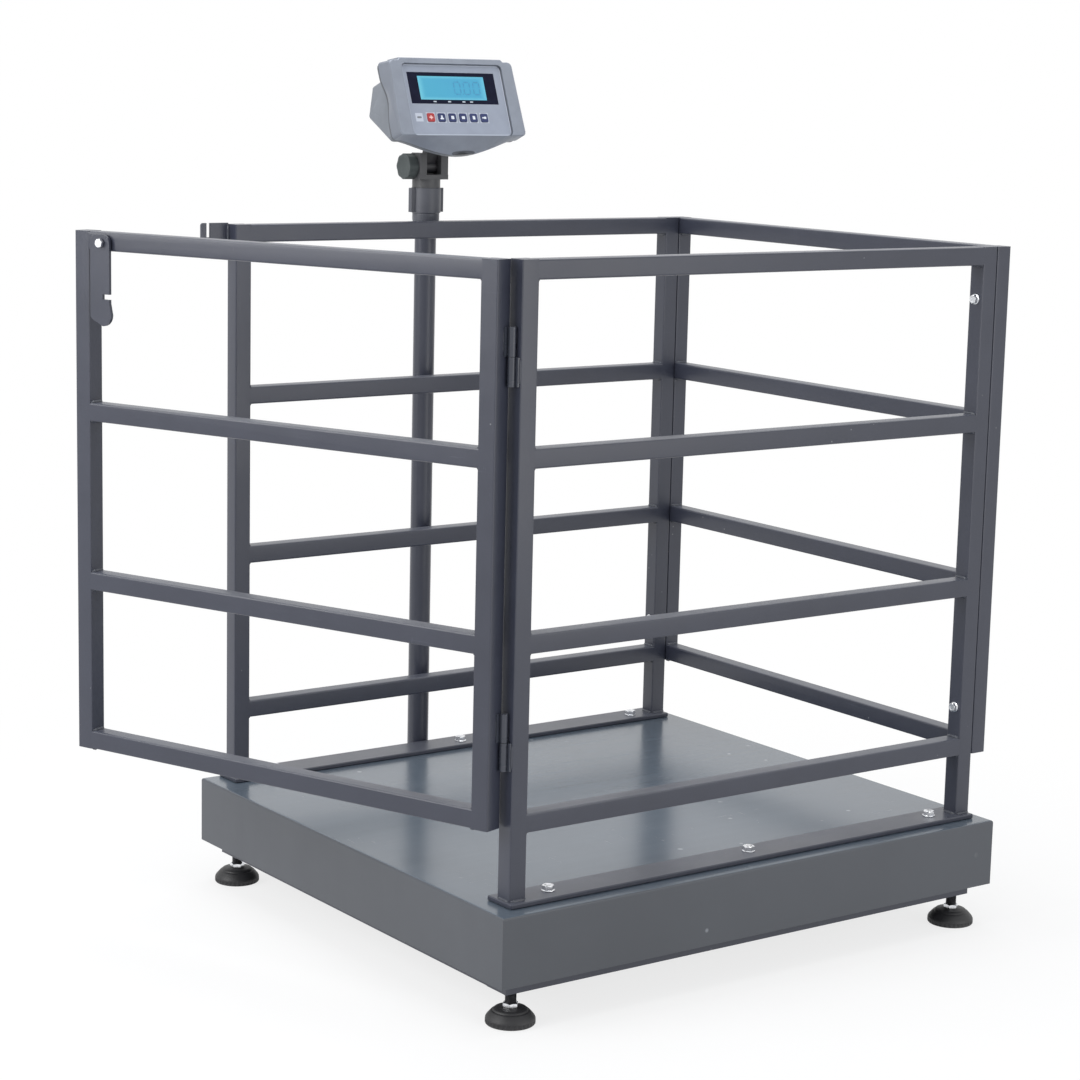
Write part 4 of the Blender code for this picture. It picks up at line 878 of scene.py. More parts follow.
    @classmethod
    def turned(cls, name: str, profile: Sequence[tuple[float, float]],
               steps: int = 64) -> bpy.types.Object:
        """A turned piece on the Z axis.

        Args:
            name: the piece's name.
            profile: (radius, height) points from one end to the other.
            steps: the number of facets round it.

        Returns:
            The closed piece.
        """
        points = [Vector((radius, 0.0, height)) for radius, height in profile]
        piece = cls.chain(name, points[0], [there - here
                                            for here, there in zip(points, points[1:])])
        with cls.editing(piece):
            bpy.ops.mesh.select_all(action="SELECT")
            bpy.ops.mesh.spin(steps=steps, angle=2 * math.pi, center=(0, 0, 0),
                              axis=(0, 0, 1))
        cls.clean(piece, flat=False)
        return piece


@dataclass
class Piece:
    """A finished piece on its way into the scene."""

    item: bpy.types.Object
    coat: Any
    body: str
    slot: str
    stands_for: tuple[str, ...] = ()

    def hand_over(self) -> None:
        """Dresses the piece and puts it on its body."""
        self.item.data.materials.clear()
        coat = self.coat
        self.item.data.materials.append(coat.material if isinstance(coat, Coat)
                                        else coat.make())
        for face in self.item.data.polygons:
            face.material_index = 0
        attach(self.item, self.body)
        if self.stands_for:
            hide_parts(*self.stands_for)
        LOG.info("%s: %d faces on %s", self.item.name, len(self.item.data.polygons), self.body)


def refined(node: str, width: float, segments: int = 2, angle: float = 30.0) -> bpy.types.Object:
    """A finer copy of a CAD solid, with merged faces and rounded edges.

    Args:
        node: the CAD node's name.
        width: the rounding's width.
        segments: the rounding's segments.
        angle: edges sharper than this are rounded.

    Returns:
        The copy.
    """
    item = Bench.copy(bpy.data.objects[node], "dressed_" + node)
    Bench.clean(item)
    if width > 0:
        Bench.soften(item, width, segments, angle)
    return Bench.even(item)


def dressed(node: str, coat: Any, body: str, slot: str, width: float, segments: int = 2,
            angle: float = 30.0) -> Piece:
    """A CAD solid, refined and dressed as a piece of its own.

    Args:
        node: the CAD node's name.
        coat: the finish.
        body: the body that it rides on.
        slot: the material slot.
        width: the rounding's width.
        segments: the rounding's segments.
        angle: edges sharper than this are rounded.

    Returns:
        The piece.
    """
    return Piece(refined(node, width, segments, angle), coat, body, slot, (node,))


def underside(node: str) -> Vector:
    """The middle of the lower face of a CAD node's box."""
    low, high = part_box(node)
    return Vector(((low.x + high.x) / 2, (low.y + high.y) / 2, low.z))


# Places


@dataclass(frozen=True)
class Datum:
    """The middle of the deck's top face, which every place below is drawn from."""

    centre: Vector

    @classmethod
    def read(cls) -> Datum:
        """Reads the datum from the platform's cover."""
        low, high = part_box("platform_cover")
        return cls(Vector(((low.x + high.x) / 2, (low.y + high.y) / 2, high.z)))

    def at(self, x: float, y: float, z: float) -> Matrix:
        """A move to a place from the datum."""
        return Matrix.Translation(self.centre + Vector((x, y, z)))


# Sub-assemblies


@dataclass
class WeldShop:
    """Weld beads, modelled once and copied."""

    radius: float = 0.0034
    step: float = 0.0023
    ripple: float = 0.86
    sides: int = 8
    beads: dict[int, bpy.types.Object] = field(default_factory=dict)

    def bead(self, length: float) -> bpy.types.Object:
        """A rippled bead along Y, centred on its middle.

        Args:
            length: the bead's length.

        Returns:
            A copy of the bead of that length.
        """
        rings = max(4, round(length / self.step))
        if rings not in self.beads:
            self.beads[rings] = self._model(rings)
        return Bench.copy(self.beads[rings], "bead")

    def _model(self, rings: int) -> bpy.types.Object:
        """Extrudes a round end ring by ring, with each ring scaled."""
        Bench.clear()
        bpy.ops.mesh.primitive_circle_add(vertices=self.sides, radius=self.radius * 0.45,
                                          fill_type="NGON", rotation=(math.pi / 2, 0, 0))
        item = Bench.named("bead_pattern")
        Bench.settle(item)
        reach = rings * self.step
        scale = 0.45
        with Bench.editing(item):
            bpy.ops.mesh.select_all(action="SELECT")
            for i in range(1, rings + 1):
                share = i / rings
                swell = min(1.0, 0.45 + 4 * min(share, 1 - share))
                wanted = swell * (1.0 if i % 2 else self.ripple)
                wanted *= 1 + 0.07 * math.sin(i * 2.4)
                bpy.ops.mesh.extrude_region_move(
                    TRANSFORM_OT_translate={"value": (0, self.step, 0)})
                middle = (0, i * self.step, 0)
                factor = wanted / scale
                bpy.ops.transform.resize(value=(factor, 1, factor), center_override=middle)
                scale = wanted
            bpy.ops.mesh.select_all(action="SELECT")
            bpy.ops.mesh.normals_make_consistent(inside=False)
            bpy.ops.transform.translate(value=(0, -reach / 2, 0))
        Bench.shade(item, 80.0)
        return item

    def close(self) -> None:
        """Removes the patterns."""
        Bench.drop(*self.beads.values())
        self.beads.clear()


@dataclass
class TubeFrame:
    """A welded frame of square tube, in its own plane from X 0 to its length."""

    node: str
    body: str
    place: Matrix
    length: float
    rails: tuple[float, ...]
    tube: float = 0.030
    foot: float | None = None
    corner_grow: tuple[float, float] = (0.0, 0.0)
    weld_short: float = 0.005

    def grow(self, frame: bpy.types.Object) -> None:
        """Draws the first post's hinge-side corner out by a small step.

        A negative second step takes the corner on the frame's other face.
        """
        along, across = self.corner_grow

        def draw_out(vert: bmesh.types.BMVert) -> None:
            """Moves the vertices of the chosen corner."""
            near = vert.co.y < self.tube / 2
            if vert.co.x < self.tube / 2 and near == (across > 0):
                vert.co.x -= along
                vert.co.y -= across

        Bench.move(frame, self.place.inverted())
        Bench.reshape(frame, draw_out)
        Bench.move(frame, self.place)

    def bead_places(self) -> list[tuple[Vector, float]]:
        """Each bead's middle and turn about Z, in the frame's own plane."""
        places = []
        middle = self.tube / 2
        for height in self.rails:
            for across in (self.tube, self.length - self.tube):
                places.append((Vector((across, middle, height)), 0.0))
                if height != self.rails[-1]:
                    places.append((Vector((across, middle, height + self.tube)), 0.0))
        if self.foot is not None:
            for start in (0.0, self.length - self.tube):
                for side in (0.0, self.tube):
                    places.append((Vector((start + side, middle, self.foot)), 0.0))
                    places.append((Vector((start + middle, side, self.foot)), math.pi / 2))
        return places

    def build(self, shop: WeldShop) -> list[Piece]:
        """The refined frame and its welds.

        Args:
            shop: makes the beads.

        Returns:
            The two pieces.
        """
        frame = refined(self.node, 0.0007)
        if any(self.corner_grow):
            self.grow(frame)
        beads = [Bench.move(shop.bead(self.tube - self.weld_short),
                            self.place @ Matrix.Translation(middle)
                            @ Matrix.Rotation(turn, 4, "Z"))
                 for middle, turn in self.bead_places()]
        welds = Bench.gather(beads, "welds_" + self.node)
        return [Piece(frame, Coat.FRAME, self.body, "frame_paint", (self.node,)),
                Piece(welds, Coat.WELD, self.body, "frame_paint")]


@dataclass
class Pen:
    """The two sides, the far end and the catch."""

    datum: Datum
    gate_end: float = -0.463
    far_end: float = 0.479
    front: float = -0.418
    rear: float = 0.437
    tube: float = 0.030
    gap: float = 0.0003
    strip: float = 0.008
    rails: tuple[float, ...] = (0.109, 0.379, 0.652, 0.924)
    catch_weld: float = 0.048
    weld_inset: float = 0.0006

    def frames(self) -> list[TubeFrame]:
        """The three fixed frames."""
        length = self.far_end - self.gate_end
        turn = Matrix.Rotation(math.pi / 2, 4, "Z")
        return [
            TubeFrame("side_frame_front", "scale",
                      self.datum.at(self.gate_end, self.front, 0), length, self.rails,
                      self.tube, self.strip, (0.0014, -0.0001)),
            TubeFrame("side_frame_rear", "scale",
                      self.datum.at(self.gate_end, self.rear - self.tube, 0), length,
                      self.rails, self.tube, self.strip),
            TubeFrame("end_frame", "scale",
                      self.datum.at(self.far_end + self.gap + self.tube, self.front, 0) @ turn,
                      self.rear - self.front, self.rails, self.tube),
        ]

    def build(self, shop: WeldShop) -> list[Piece]:
        """All pieces of the pen."""
        pieces = [piece for frame in self.frames() for piece in frame.build(shop)]
        pieces.append(dressed("latch_catch", Coat.FRAME, "scale", "frame_paint", 0.0006))
        low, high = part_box("latch_catch")
        back, middle = high.x - self.weld_inset, (low.z + high.z) / 2
        beads = [Bench.move(shop.bead(self.catch_weld),
                            Matrix.Translation((back, side, middle)) @ UPRIGHT)
                 for side in (low.y, high.y - 2 * self.weld_inset)]
        welds = Bench.gather(beads, "welds_latch_catch")
        pieces.append(Piece(welds, Coat.WELD, "scale", "frame_paint"))
        return pieces


@dataclass
class Gate:
    """The swinging gate, its hinges and its latch lever."""

    datum: Datum
    hinge: tuple[float, float] = (-0.4703, -0.4051)
    inner_face: float = 0.0036
    from_axis: float = 0.0082
    width: float = 0.808
    rails: tuple[float, ...] = (0.118, 0.380, 0.653, 0.924)
    splits: tuple[float, ...] = (0.2495, 0.815)
    half: float = 0.043
    fillet: float = 0.5
    weld_short: float = 0.008
    leaf_weld: tuple[float, float] = (-0.0108, 0.0086)
    post_weld: tuple[float, float] = (0.0077, -0.0108)
    corner_grow: tuple[float, float] = (0.0018, 0.0013)

    @property
    def closed(self) -> Matrix:
        """From the gate's closed drawing to the hinge's axis."""
        return self.datum.at(*self.hinge, 0)

    @property
    def place(self) -> Matrix:
        """From the gate's closed drawing to where it stands."""
        return self.closed @ Matrix.Rotation(math.radians(GATE_AJAR), 4, "Z")

    def barrels(self, shop: WeldShop) -> list[Piece]:
        """The hinge halves, with the weld beside each leaf."""
        pieces = [dressed(f"{level}_hinge_{side}_half", Coat.WELD, body, "frame_paint",
                          0.0004, 2, 50.0)
                  for level in ("lower", "upper")
                  for side, body in (("gate", "gate"), ("post", "scale"))]
        slim = UPRIGHT @ Matrix.Diagonal((self.fillet, 1.0, self.fillet, 1.0))
        rows = (("gate", "gate", self.place, self.leaf_weld, self.half / 2),
                ("post", "scale", self.closed, self.post_weld, -self.half / 2))
        for side, body, start, spot, rise in rows:
            beads = [Bench.move(shop.bead(self.half - self.weld_short),
                                start @ Matrix.Translation((*spot, split + rise)) @ slim)
                     for split in self.splits]
            welds = Bench.gather(beads, f"welds_hinge_{side}")
            pieces.append(Piece(welds, Coat.WELD, body, "frame_paint"))
        return pieces

    def build(self, shop: WeldShop) -> list[Piece]:
        """All pieces of the gate."""
        turn = Matrix.Rotation(math.pi / 2, 4, "Z")
        place = self.place @ Matrix.Translation((self.inner_face, self.from_axis, 0)) @ turn
        frame = TubeFrame("gate_frame", "gate", place, self.width, self.rails,
                          corner_grow=self.corner_grow)
        return frame.build(shop) + self.barrels(shop) + [
            dressed("latch_lever", Coat.FRAME, "latch", "frame_paint", 0.0006),
            dressed("latch_washer", Coat.JOINT, "gate", "black_plastic", 0.00025),
        ]


@dataclass(frozen=True)
class BoltSize:
    """A hexagon bolt's sizes, with no flange where its thickness is 0."""

    flats: float
    height: float
    flange_radius: float
    flange: float
    shank: float
    grip: float


class Bolt(Enum):
    """The bolts of the base strips, the pen's corners and the latch."""

    STRIP = BoltSize(0.017, 0.0065, 0.0105, 0.0018, 0.005, 0.032)
    CORNER = BoltSize(0.013, 0.0055, 0.0085, 0.0015, 0.004, 0.045)
    PIVOT = BoltSize(0.013, 0.0055, 0.0, 0.0, 0.004, 0.0231)


@dataclass
class Fasteners:
    """The plated bolts, with chamfered heads, dished marks and rounded shank ends."""

    gap: float = 0.0003
    dish: float = 0.0005

    def bolt(self, kind: Bolt) -> bpy.types.Object:
        """A bolt on Z, its seat at 0 and its head above.

        Args:
            kind: which bolt.

        Returns:
            The closed bolt.
        """
        size = kind.value
        flats, grip, radius, wide = size.flats, size.grip, size.shank, size.flange_radius
        base = self.gap + size.flange
        top = base + size.height
        root = base + size.height / 3
        corner = flats / 2 / math.cos(math.radians(30))
        item = Bench.drum("bolt_head", corner, self.gap + size.flange * 0.4, top, 6)
        cone = [(0, -grip), (corner * 1.2, -grip), (corner * 1.2, top - 0.0022),
                (corner * 1.01, top - 0.0014), (flats / 2 * 0.97, top), (0, top)]
        Bench.combine(item, Bench.turned("chamfer", cone, 48), "INTERSECT")
        with Bench.editing(item):
            Bench.pick(item, lambda face: face.normal.z > 0.9)
            bpy.ops.mesh.inset(thickness=flats * 0.16)
            bpy.ops.mesh.inset(thickness=flats * 0.05, depth=-self.dish)
        shank = [(0, -grip), (radius * 0.72, -grip), (radius, -grip + radius * 0.4),
                 (radius, root), (0, root)]
        Bench.combine(item, Bench.turned("shank", shank, 28))
        if size.flange:
            rim = [(0, self.gap), (wide - 0.0003, self.gap), (wide, self.gap + 0.0004),
                   (wide - 0.0001, self.gap + size.flange * 0.5), (flats / 2, base), (0, base)]
            Bench.combine(item, Bench.turned("flange", rim, 40))
        Bench.clean(item, flat=False)
        return Bench.shade(item, 32.0)

    def build(self) -> list[Piece]:
        """All bolts, each in its own node's place."""
        strip = self.bolt(Bolt.STRIP)
        corner = self.bolt(Bolt.CORNER)
        places = []
        for row, start in (("front", 0.4), ("rear", 0.9)):
            for number in (1, 2, 3):
                node = f"{row}_strip_bolt_{number}"
                seat = underside(node) + Vector((0, 0, Bolt.STRIP.value.grip))
                twist = Matrix.Rotation(start + 0.7 * number, 4, "Z")
                places.append((node, strip, Matrix.Translation(seat) @ twist))
            for level in ("lower", "upper"):
                node = f"{row}_{level}_corner_bolt"
                low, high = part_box(node)
                seat = (low + high) / 2
                seat.x = high.x - Bolt.CORNER.value.grip
                places.append((node, corner, Matrix.Translation(seat) @ self.lying(0.3)))
        pieces = [Piece(Bench.move(Bench.copy(pattern, "dressed_" + node), place),
                        Coat.ZINC, "scale", "zinc", (node,))
                  for node, pattern, place in places]
        Bench.drop(strip, corner)
        return pieces + [self.pivot()]

    @staticmethod
    def lying(twist: float) -> Matrix:
        """Lays a bolt down, its head towards negative X, with a twist on its own axis."""
        return Matrix.Rotation(-math.pi / 2, 4, "Y") @ Matrix.Rotation(twist, 4, "Z")

    def pivot(self) -> Piece:
        """The latch's pivot bolt, which points into the gate's rail."""
        node = "latch_pivot_bolt"
        low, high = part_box(node)
        size = Bolt.PIVOT.value
        turn = math.radians(GATE_AJAR)
        along = Vector((-math.cos(turn), -math.sin(turn), 0))
        past_middle = (size.grip - self.gap - size.height) / 2
        seat = (low + high) / 2 + along * past_middle
        item = self.bolt(Bolt.PIVOT)
        Bench.move(item, Matrix.Translation(seat) @ Matrix.Rotation(turn, 4, "Z")
                   @ self.lying(0.26))
        item.name = "dressed_" + node
        return Piece(item, Coat.ZINC, "gate", "zinc", (node,))


@dataclass
class LevellingFeet:
    """Four rubber feet with threaded studs and locknuts."""

    pad_radius: float = 0.038
    pad_height: float = 0.026
    ribs: int = 32
    rib_depth: float = 0.0012
    pitch: float = 0.0020
    core: float = 0.0077
    crest: float = 0.0088
    socket: float = 0.0091
    socket_depth: float = 0.012
    nut_flats: float = 0.0215
    nut_height: float = 0.0065
    turns: tuple[float, ...] = (0.3, 1.1, 0.0, 0.7)

    def pad(self) -> bpy.types.Object:
        """The moulded pad: a rim with upright ribs, a rounded shoulder and a crown."""
        rim, top = self.pad_radius, self.pad_height
        facets = self.ribs * 4
        flank = [(0.0035, 0), (0.0012, 0.0008), (0.0004, 0.0018), (0, 0.0022), (0, 0.0050),
                 (0, 0.0078), (0.0001, 0.0082), (0.0003, 0.0096), (0.0016, 0.0122),
                 (0.0042, 0.0152), (0.0078, 0.0192)]
        crown = [(0.0285, 0.0206), (0.0272, 0.0208), (0.0262, 0.0224), (0.0246, 0.0238),
                 (0.020, 0.0248), (0.0146, 0.0256), (0.0136, top), (self.socket, top),
                 (self.socket, top - self.socket_depth), (0, top - self.socket_depth)]
        profile = [(0, 0), *((rim - inset, height) for inset, height in flank), *crown]
        item = Bench.turned("foot_pad", profile, facets)

        def rib(vert: bmesh.types.BMVert) -> None:
            """Draws in every second pair of the rim's facets."""
            step = round(math.atan2(vert.co.y, vert.co.x) / (2 * math.pi) * facets)
            if 0.002 < vert.co.z < 0.008 and vert.co.xy.length > 0.03 and step % 4 < 2:
                vert.co.xy *= 1 - self.rib_depth / rim

        Bench.reshape(item, rib)
        return Bench.shade(item, 40.0)

    def stud(self, length: float) -> bpy.types.Object:
        """A threaded rod: one turn's profile swept by the Screw modifier, cut flat.

        Args:
            length: the rod's length, standing on Z 0.

        Returns:
            The closed rod.
        """
        out, flank, flat = self.crest - self.core, self.pitch * 0.44, self.pitch * 0.06
        item = Bench.chain("foot_stud", (self.core, 0, -2 * self.pitch),
                           ((out, 0, flank), (0, 0, flat), (-out, 0, flank), (0, 0, flat)))
        turns = math.ceil(length / self.pitch) + 4
        Bench.modify(item, "SCREW", steps=20, render_steps=20, screw_offset=self.pitch,
                     iterations=turns, use_merge_vertices=True, merge_threshold=0.00002)
        with Bench.editing(item):
            bpy.ops.mesh.select_all(action="SELECT")
            bpy.ops.mesh.remove_doubles(threshold=0.00002)
            for height, below in ((0.0, True), (length, False)):
                bpy.ops.mesh.select_all(action="SELECT")
                bpy.ops.mesh.bisect(plane_co=(0, 0, height), plane_no=(0, 0, 1), use_fill=True,
                                    clear_inner=below, clear_outer=not below)
            bpy.ops.mesh.select_all(action="SELECT")
            bpy.ops.mesh.normals_make_consistent(inside=False)
        return Bench.shade(item, 24.0)

    def nut(self) -> bpy.types.Object:
        """The hexagon locknut, chamfered above and below, with its bore."""
        corner = self.nut_flats / 2 / math.cos(math.radians(30))
        item = Bench.drum("locknut", corner, 0, self.nut_height, 6)
        top, hole = self.nut_height, self.socket
        inner = self.nut_flats / 2 * 0.97
        cone = [(0, 0), (inner, 0), (corner * 1.02, 0.0012), (corner * 1.02, top - 0.0012),
                (inner, top), (0, top)]
        bore = [(0, -0.001), (hole + 0.001, -0.001), (hole, 0.0008), (hole, top - 0.0008),
                (hole + 0.001, top + 0.001), (0, top + 0.001)]
        Bench.combine(item, Bench.turned("chamfer", cone, 48), "INTERSECT")
        Bench.combine(item, Bench.turned("bore", bore, 36), "DIFFERENCE")
        Bench.clean(item, flat=False)
        return Bench.shade(item, 32.0)

    def build(self) -> list[Piece]:
        """Twelve pieces on the four foot bodies."""
        low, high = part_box("foot_stud_" + FEET[0])
        patterns = {"foot_pad": (self.pad(), Coat.RUBBER, "black_rubber"),
                    "foot_stud": (self.stud(high.z - low.z), Coat.STUD, "stud_steel"),
                    "locknut": (self.nut(), Coat.ZINC, "zinc")}
        pieces = []
        for foot, turn in zip(FEET, self.turns):
            for kind, (pattern, coat, slot) in patterns.items():
                node = f"{kind}_{foot}"
                place = Matrix.Translation(underside(node)) @ Matrix.Rotation(turn, 4, "Z")
                item = Bench.move(Bench.copy(pattern, "dressed_" + node), place)
                pieces.append(Piece(item, coat, "foot_" + foot, slot, (node,)))
        Bench.drop(*(pattern for pattern, _, _ in patterns.values()))
        return pieces


def platform() -> list[Piece]:
    """The deck cover, the base frame and what they hide."""
    pieces = [
        dressed("platform_cover", Coat.DECK, "scale", "deck_paint", 0.0020, 3),
        dressed("base_frame", Coat.FRAME, "scale", "frame_paint", 0.0006),
        dressed("junction_box", Coat.SHELL, "scale", "shell_plastic", 0.0015, 3),
    ]
    return pieces + [dressed("load_cell_" + foot, Coat.ALLOY, "scale", "cell_alloy", 0.0006)
                     for foot in FEET]


@dataclass
class Pole:
    """The pole, its bracket, its collar, the swivel head and the tilt joint."""

    datum: Datum
    radius: float = 0.019
    wall: float = 0.002
    ease: float = 0.0005
    knob_radius: float = 0.0225
    knob_thickness: float = 0.018
    knob_inner: float = -0.0303
    lobes: int = 8
    lobe_depth: float = 0.0014

    def pole(self) -> Piece:
        """A smooth round tube with rounded ends."""
        low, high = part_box("indicator_pole")
        outer, ease = self.radius, self.ease
        inner = outer - self.wall
        item = Bench.turned("dressed_indicator_pole", [
            (inner, low.z), (outer - ease, low.z), (outer, low.z + ease),
            (outer, high.z - ease), (outer - ease, high.z), (inner, high.z), (inner, low.z)], 96)
        Bench.move(item, Matrix.Translation(((low.x + high.x) / 2, (low.y + high.y) / 2, 0)))
        Bench.shade(item, 40.0)
        return Piece(item, Coat.FRAME, "scale", "frame_paint", ("indicator_pole",))

    def knob(self) -> Piece:
        """The lobed knob: an even ring of lobes, a dished face and a bore for the spindle."""
        item = Bench.drum("dressed_tilt_knob", self.knob_radius, 0, self.knob_thickness, 96)

        def lobe(vert: bmesh.types.BMVert) -> None:
            """Draws in the flank between two lobes."""
            turn = math.atan2(vert.co.y, vert.co.x)
            share = (1 - math.cos(self.lobes * turn)) / 2
            vert.co.xy *= 1 - self.lobe_depth / self.knob_radius * share ** 1.6

        Bench.reshape(item, lobe)
        with Bench.editing(item):
            Bench.pick(item, lambda face: face.normal.z > 0.9)
            bpy.ops.mesh.inset(thickness=0.0016)
            bpy.ops.mesh.inset(thickness=0.0034)
            bpy.ops.mesh.inset(thickness=0.0010, depth=-0.0011)
            Bench.pick(item, lambda face: face.normal.z < -0.9)
            bpy.ops.mesh.inset(thickness=0.0165)
            bpy.ops.mesh.extrude_region_move(TRANSFORM_OT_translate={"value": (0, 0, 0.0113)})
        Bench.soften(item, 0.0016, 3, 60.0)
        x, y, z = TILT_AXIS
        place = self.datum.at(x + self.knob_inner, y, z)
        Bench.move(item, place @ Matrix.Rotation(-math.pi / 2, 4, "Y"))
        Bench.shade(item, 50.0)
        return Piece(item, Coat.KNOB, "knob", "knob_plastic", ("tilt_knob",))

    def build(self) -> list[Piece]:
        """The pieces of the pole and its head."""
        return [
            self.pole(), self.knob(),
            dressed("pole_bracket", Coat.FRAME, "scale", "frame_paint", 0.0006),
            dressed("pole_collar", Coat.COLLAR, "scale", "frame_paint", 0.0009, 3, 34.0),
            dressed("swivel_head", Coat.NECK, "head", "black_plastic", 0.0010, 3),
            dressed("tilt_bracket", Coat.JOINT, "indicator", "black_plastic", 0.0009, 3),
            dressed("tilt_spindle", Coat.JOINT, "head", "black_plastic", 0.0006, 2, 50.0),
        ]


@dataclass
class Indicator:
    """The two shells, the face with its display and keys, and the marks on them."""

    datum: Datum
    tilt: float = 20.8
    forward: float = 0.1286
    up: float = 0.0766
    panel_half: tuple[float, float] = (0.10275, 0.06375)
    lcd_centre: tuple[float, float] = (-0.0046, 0.0222)
    lcd_half: tuple[float, float] = (0.0689, 0.0213)
    key_first: float = -0.0608
    key_pitch: float = 0.0222
    key_row: float = -0.0318
    key_proud: float = 0.0010
    mark_proud: float = 0.00012
    lamp: tuple[float, float] = (-0.0845, -0.0316)
    ticks: tuple[float, ...] = (-0.046, -0.016, 0.014, 0.030)
    tick_height: float = -0.0028
    digit_places: tuple[float, ...] = (0.006, 0.026, 0.046)
    digit_half: tuple[float, float] = (0.0062, 0.0110)
    digit_bar: float = 0.0011
    digit_sunk: float = 0.00072
    point_place: float = 0.0165
    point_half: float = 0.0009
    grip_from: float = 0.100
    grip_height: float = 0.009
    grip_up: float = 0.038
    grip_down: float = 0.050
    grip_depth: float = 0.0068
    grip_loops: tuple[float, float, int] = (-0.055, 0.008, 14)
    recess_place: tuple[float, float, float] = (0.0130, 0.0211, -0.0900)
    recess_size: tuple[float, float, float] = (0.0300, 0.0058, 0.0034)
    chin_slope: float = 45.0
    # The band behind the face, in metres, where painted shade darkens the rear shell at the
    # seam.
    seam: tuple[float, float] = (0.0265, 0.031)

    @property
    def place(self) -> Matrix:
        """From the upright face, X across and Z up, to where it leans."""
        lean = Matrix.Rotation(math.radians(-self.tilt), 4, "X")
        return (self.datum.at(*TILT_AXIS) @ lean
                @ Matrix.Translation((0, -self.forward, self.up)))

    @property
    def face(self) -> Face:
        """The face's own axes, for the finishes that are drawn on it."""
        place = self.place
        across, _, up = place.to_3x3().col
        return Face(place.translation.copy(), across.copy(), up.copy())

    def key_places(self) -> list[tuple[float, float]]:
        """The keys' centres on the face."""
        return [(self.key_first + self.key_pitch * i, self.key_row) for i in range(6)]

    def waisted(self, node: str, depths: Sequence[float],
                fade: Callable[[float], float]) -> bpy.types.Object:
        """A shell with the finger grips pressed into its sides.

        Args:
            node: the CAD node.
            depths: how far behind the face the bend needs edge loops.
            fade: the share of the grip's depth at a distance behind the face.

        Returns:
            The shell in place.
        """
        lowest, step, count = self.grip_loops
        levels = [lowest + step * i for i in range(count)]
        item = refined(node, 0.0)
        Bench.move(item, self.place.inverted())
        with Bench.editing(item):
            for axis, stops in ((Vector((0, 0, 1)), levels), (Vector((0, 1, 0)), depths)):
                for stop in stops:
                    bpy.ops.mesh.select_all(action="SELECT")
                    bpy.ops.mesh.bisect(plane_co=tuple(axis * stop), plane_no=tuple(axis))

        def press(vert: bmesh.types.BMVert) -> None:
            """Presses the sides in, most at the grip's height."""
            if abs(vert.co.x) > self.grip_from:
                away = vert.co.z - self.grip_height
                share = min(1.0, abs(away) / (self.grip_up if away > 0 else self.grip_down))
                depth = self.grip_depth * math.cos(share * math.pi / 2) ** 2
                vert.co.x -= math.copysign(depth * fade(vert.co.y), vert.co.x)

        Bench.reshape(item, press)
        Bench.soften(item, 0.0010, 3, 24.0)
        Bench.move(item, self.place)
        return item

    def shells(self) -> list[Piece]:
        """The shells, with their side grips and the thumb recess in the chin."""
        front = self.waisted("front_shell", (0.004, 0.009, 0.014, 0.019),
                             lambda back: part_way(back, 0.001, 0.023) ** 1.5)
        rear = self.waisted("rear_shell", (0.040, 0.056, 0.070),
                            lambda back: part_way(back, 0.075, 0.027))
        Bench.clear()
        bpy.ops.mesh.primitive_uv_sphere_add(segments=40, ring_count=20, radius=1.0)
        scoop = Bench.named("scoop")
        scoop.scale = self.recess_size
        Bench.settle(scoop)
        recess = (self.place @ Matrix.Translation(self.recess_place)
                  @ Matrix.Rotation(math.radians(-self.chin_slope), 4, "X"))
        Bench.move(scoop, recess)
        Bench.combine(front, scoop, "DIFFERENCE")
        Bench.even(front, 40.0)
        Bench.even(rear, 40.0)
        # The front shell's material paints shade on its flanks and in the thumb recess; the rear
        # shell's paints shade in a band just behind the seam.
        front_coat = Moulded("front_shell_plastic", (0.240, 0.264, 0.314), (0.33, 0.36, 0.41),
                             0.40, 1300.0, 0.00009, face=self.face, flank=0.7,
                             scoop=Scoop(recess, self.recess_size))
        rear_coat = Moulded("rear_shell_plastic", (0.165, 0.180, 0.205), (0.24, 0.26, 0.29),
                            0.44, 1300.0, 0.00009, face=self.face, seam=self.seam)
        return [Piece(front, front_coat, "indicator", "shell_plastic", ("front_shell",)),
                Piece(rear, rear_coat, "indicator", "shell_plastic", ("rear_shell",))]

    def chip(self, name: str, centre: tuple[float, float], half: tuple[float, float],
             out: float, back: float, bevel: float) -> bpy.types.Object:
        """A small rounded plate on the face.

        Args:
            name: the plate's name.
            centre: its centre on the face.
            half: its half width and half height.
            out: how far it stands in front of the face.
            back: how far it reaches behind the face.
            bevel: its edges' rounding.

        Returns:
            The plate in place.
        """
        item = Bench.block(name, (centre[0] - half[0], -out, centre[1] - half[1]),
                           (centre[0] + half[0], back, centre[1] + half[1]))
        with Bench.editing(item):
            Bench.pick(item, lambda edge: abs((edge.verts[1].co - edge.verts[0].co).y) > 1e-6,
                       "EDGE")
            bpy.ops.mesh.bevel(offset=bevel, segments=4, affect="EDGES")
            Bench.pick(item, lambda face: face.normal.y < -0.9)
            bpy.ops.mesh.inset(thickness=min(bevel, min(half)) * 0.5)
        Bench.move(item, self.place)
        return Bench.shade(item, 40.0)

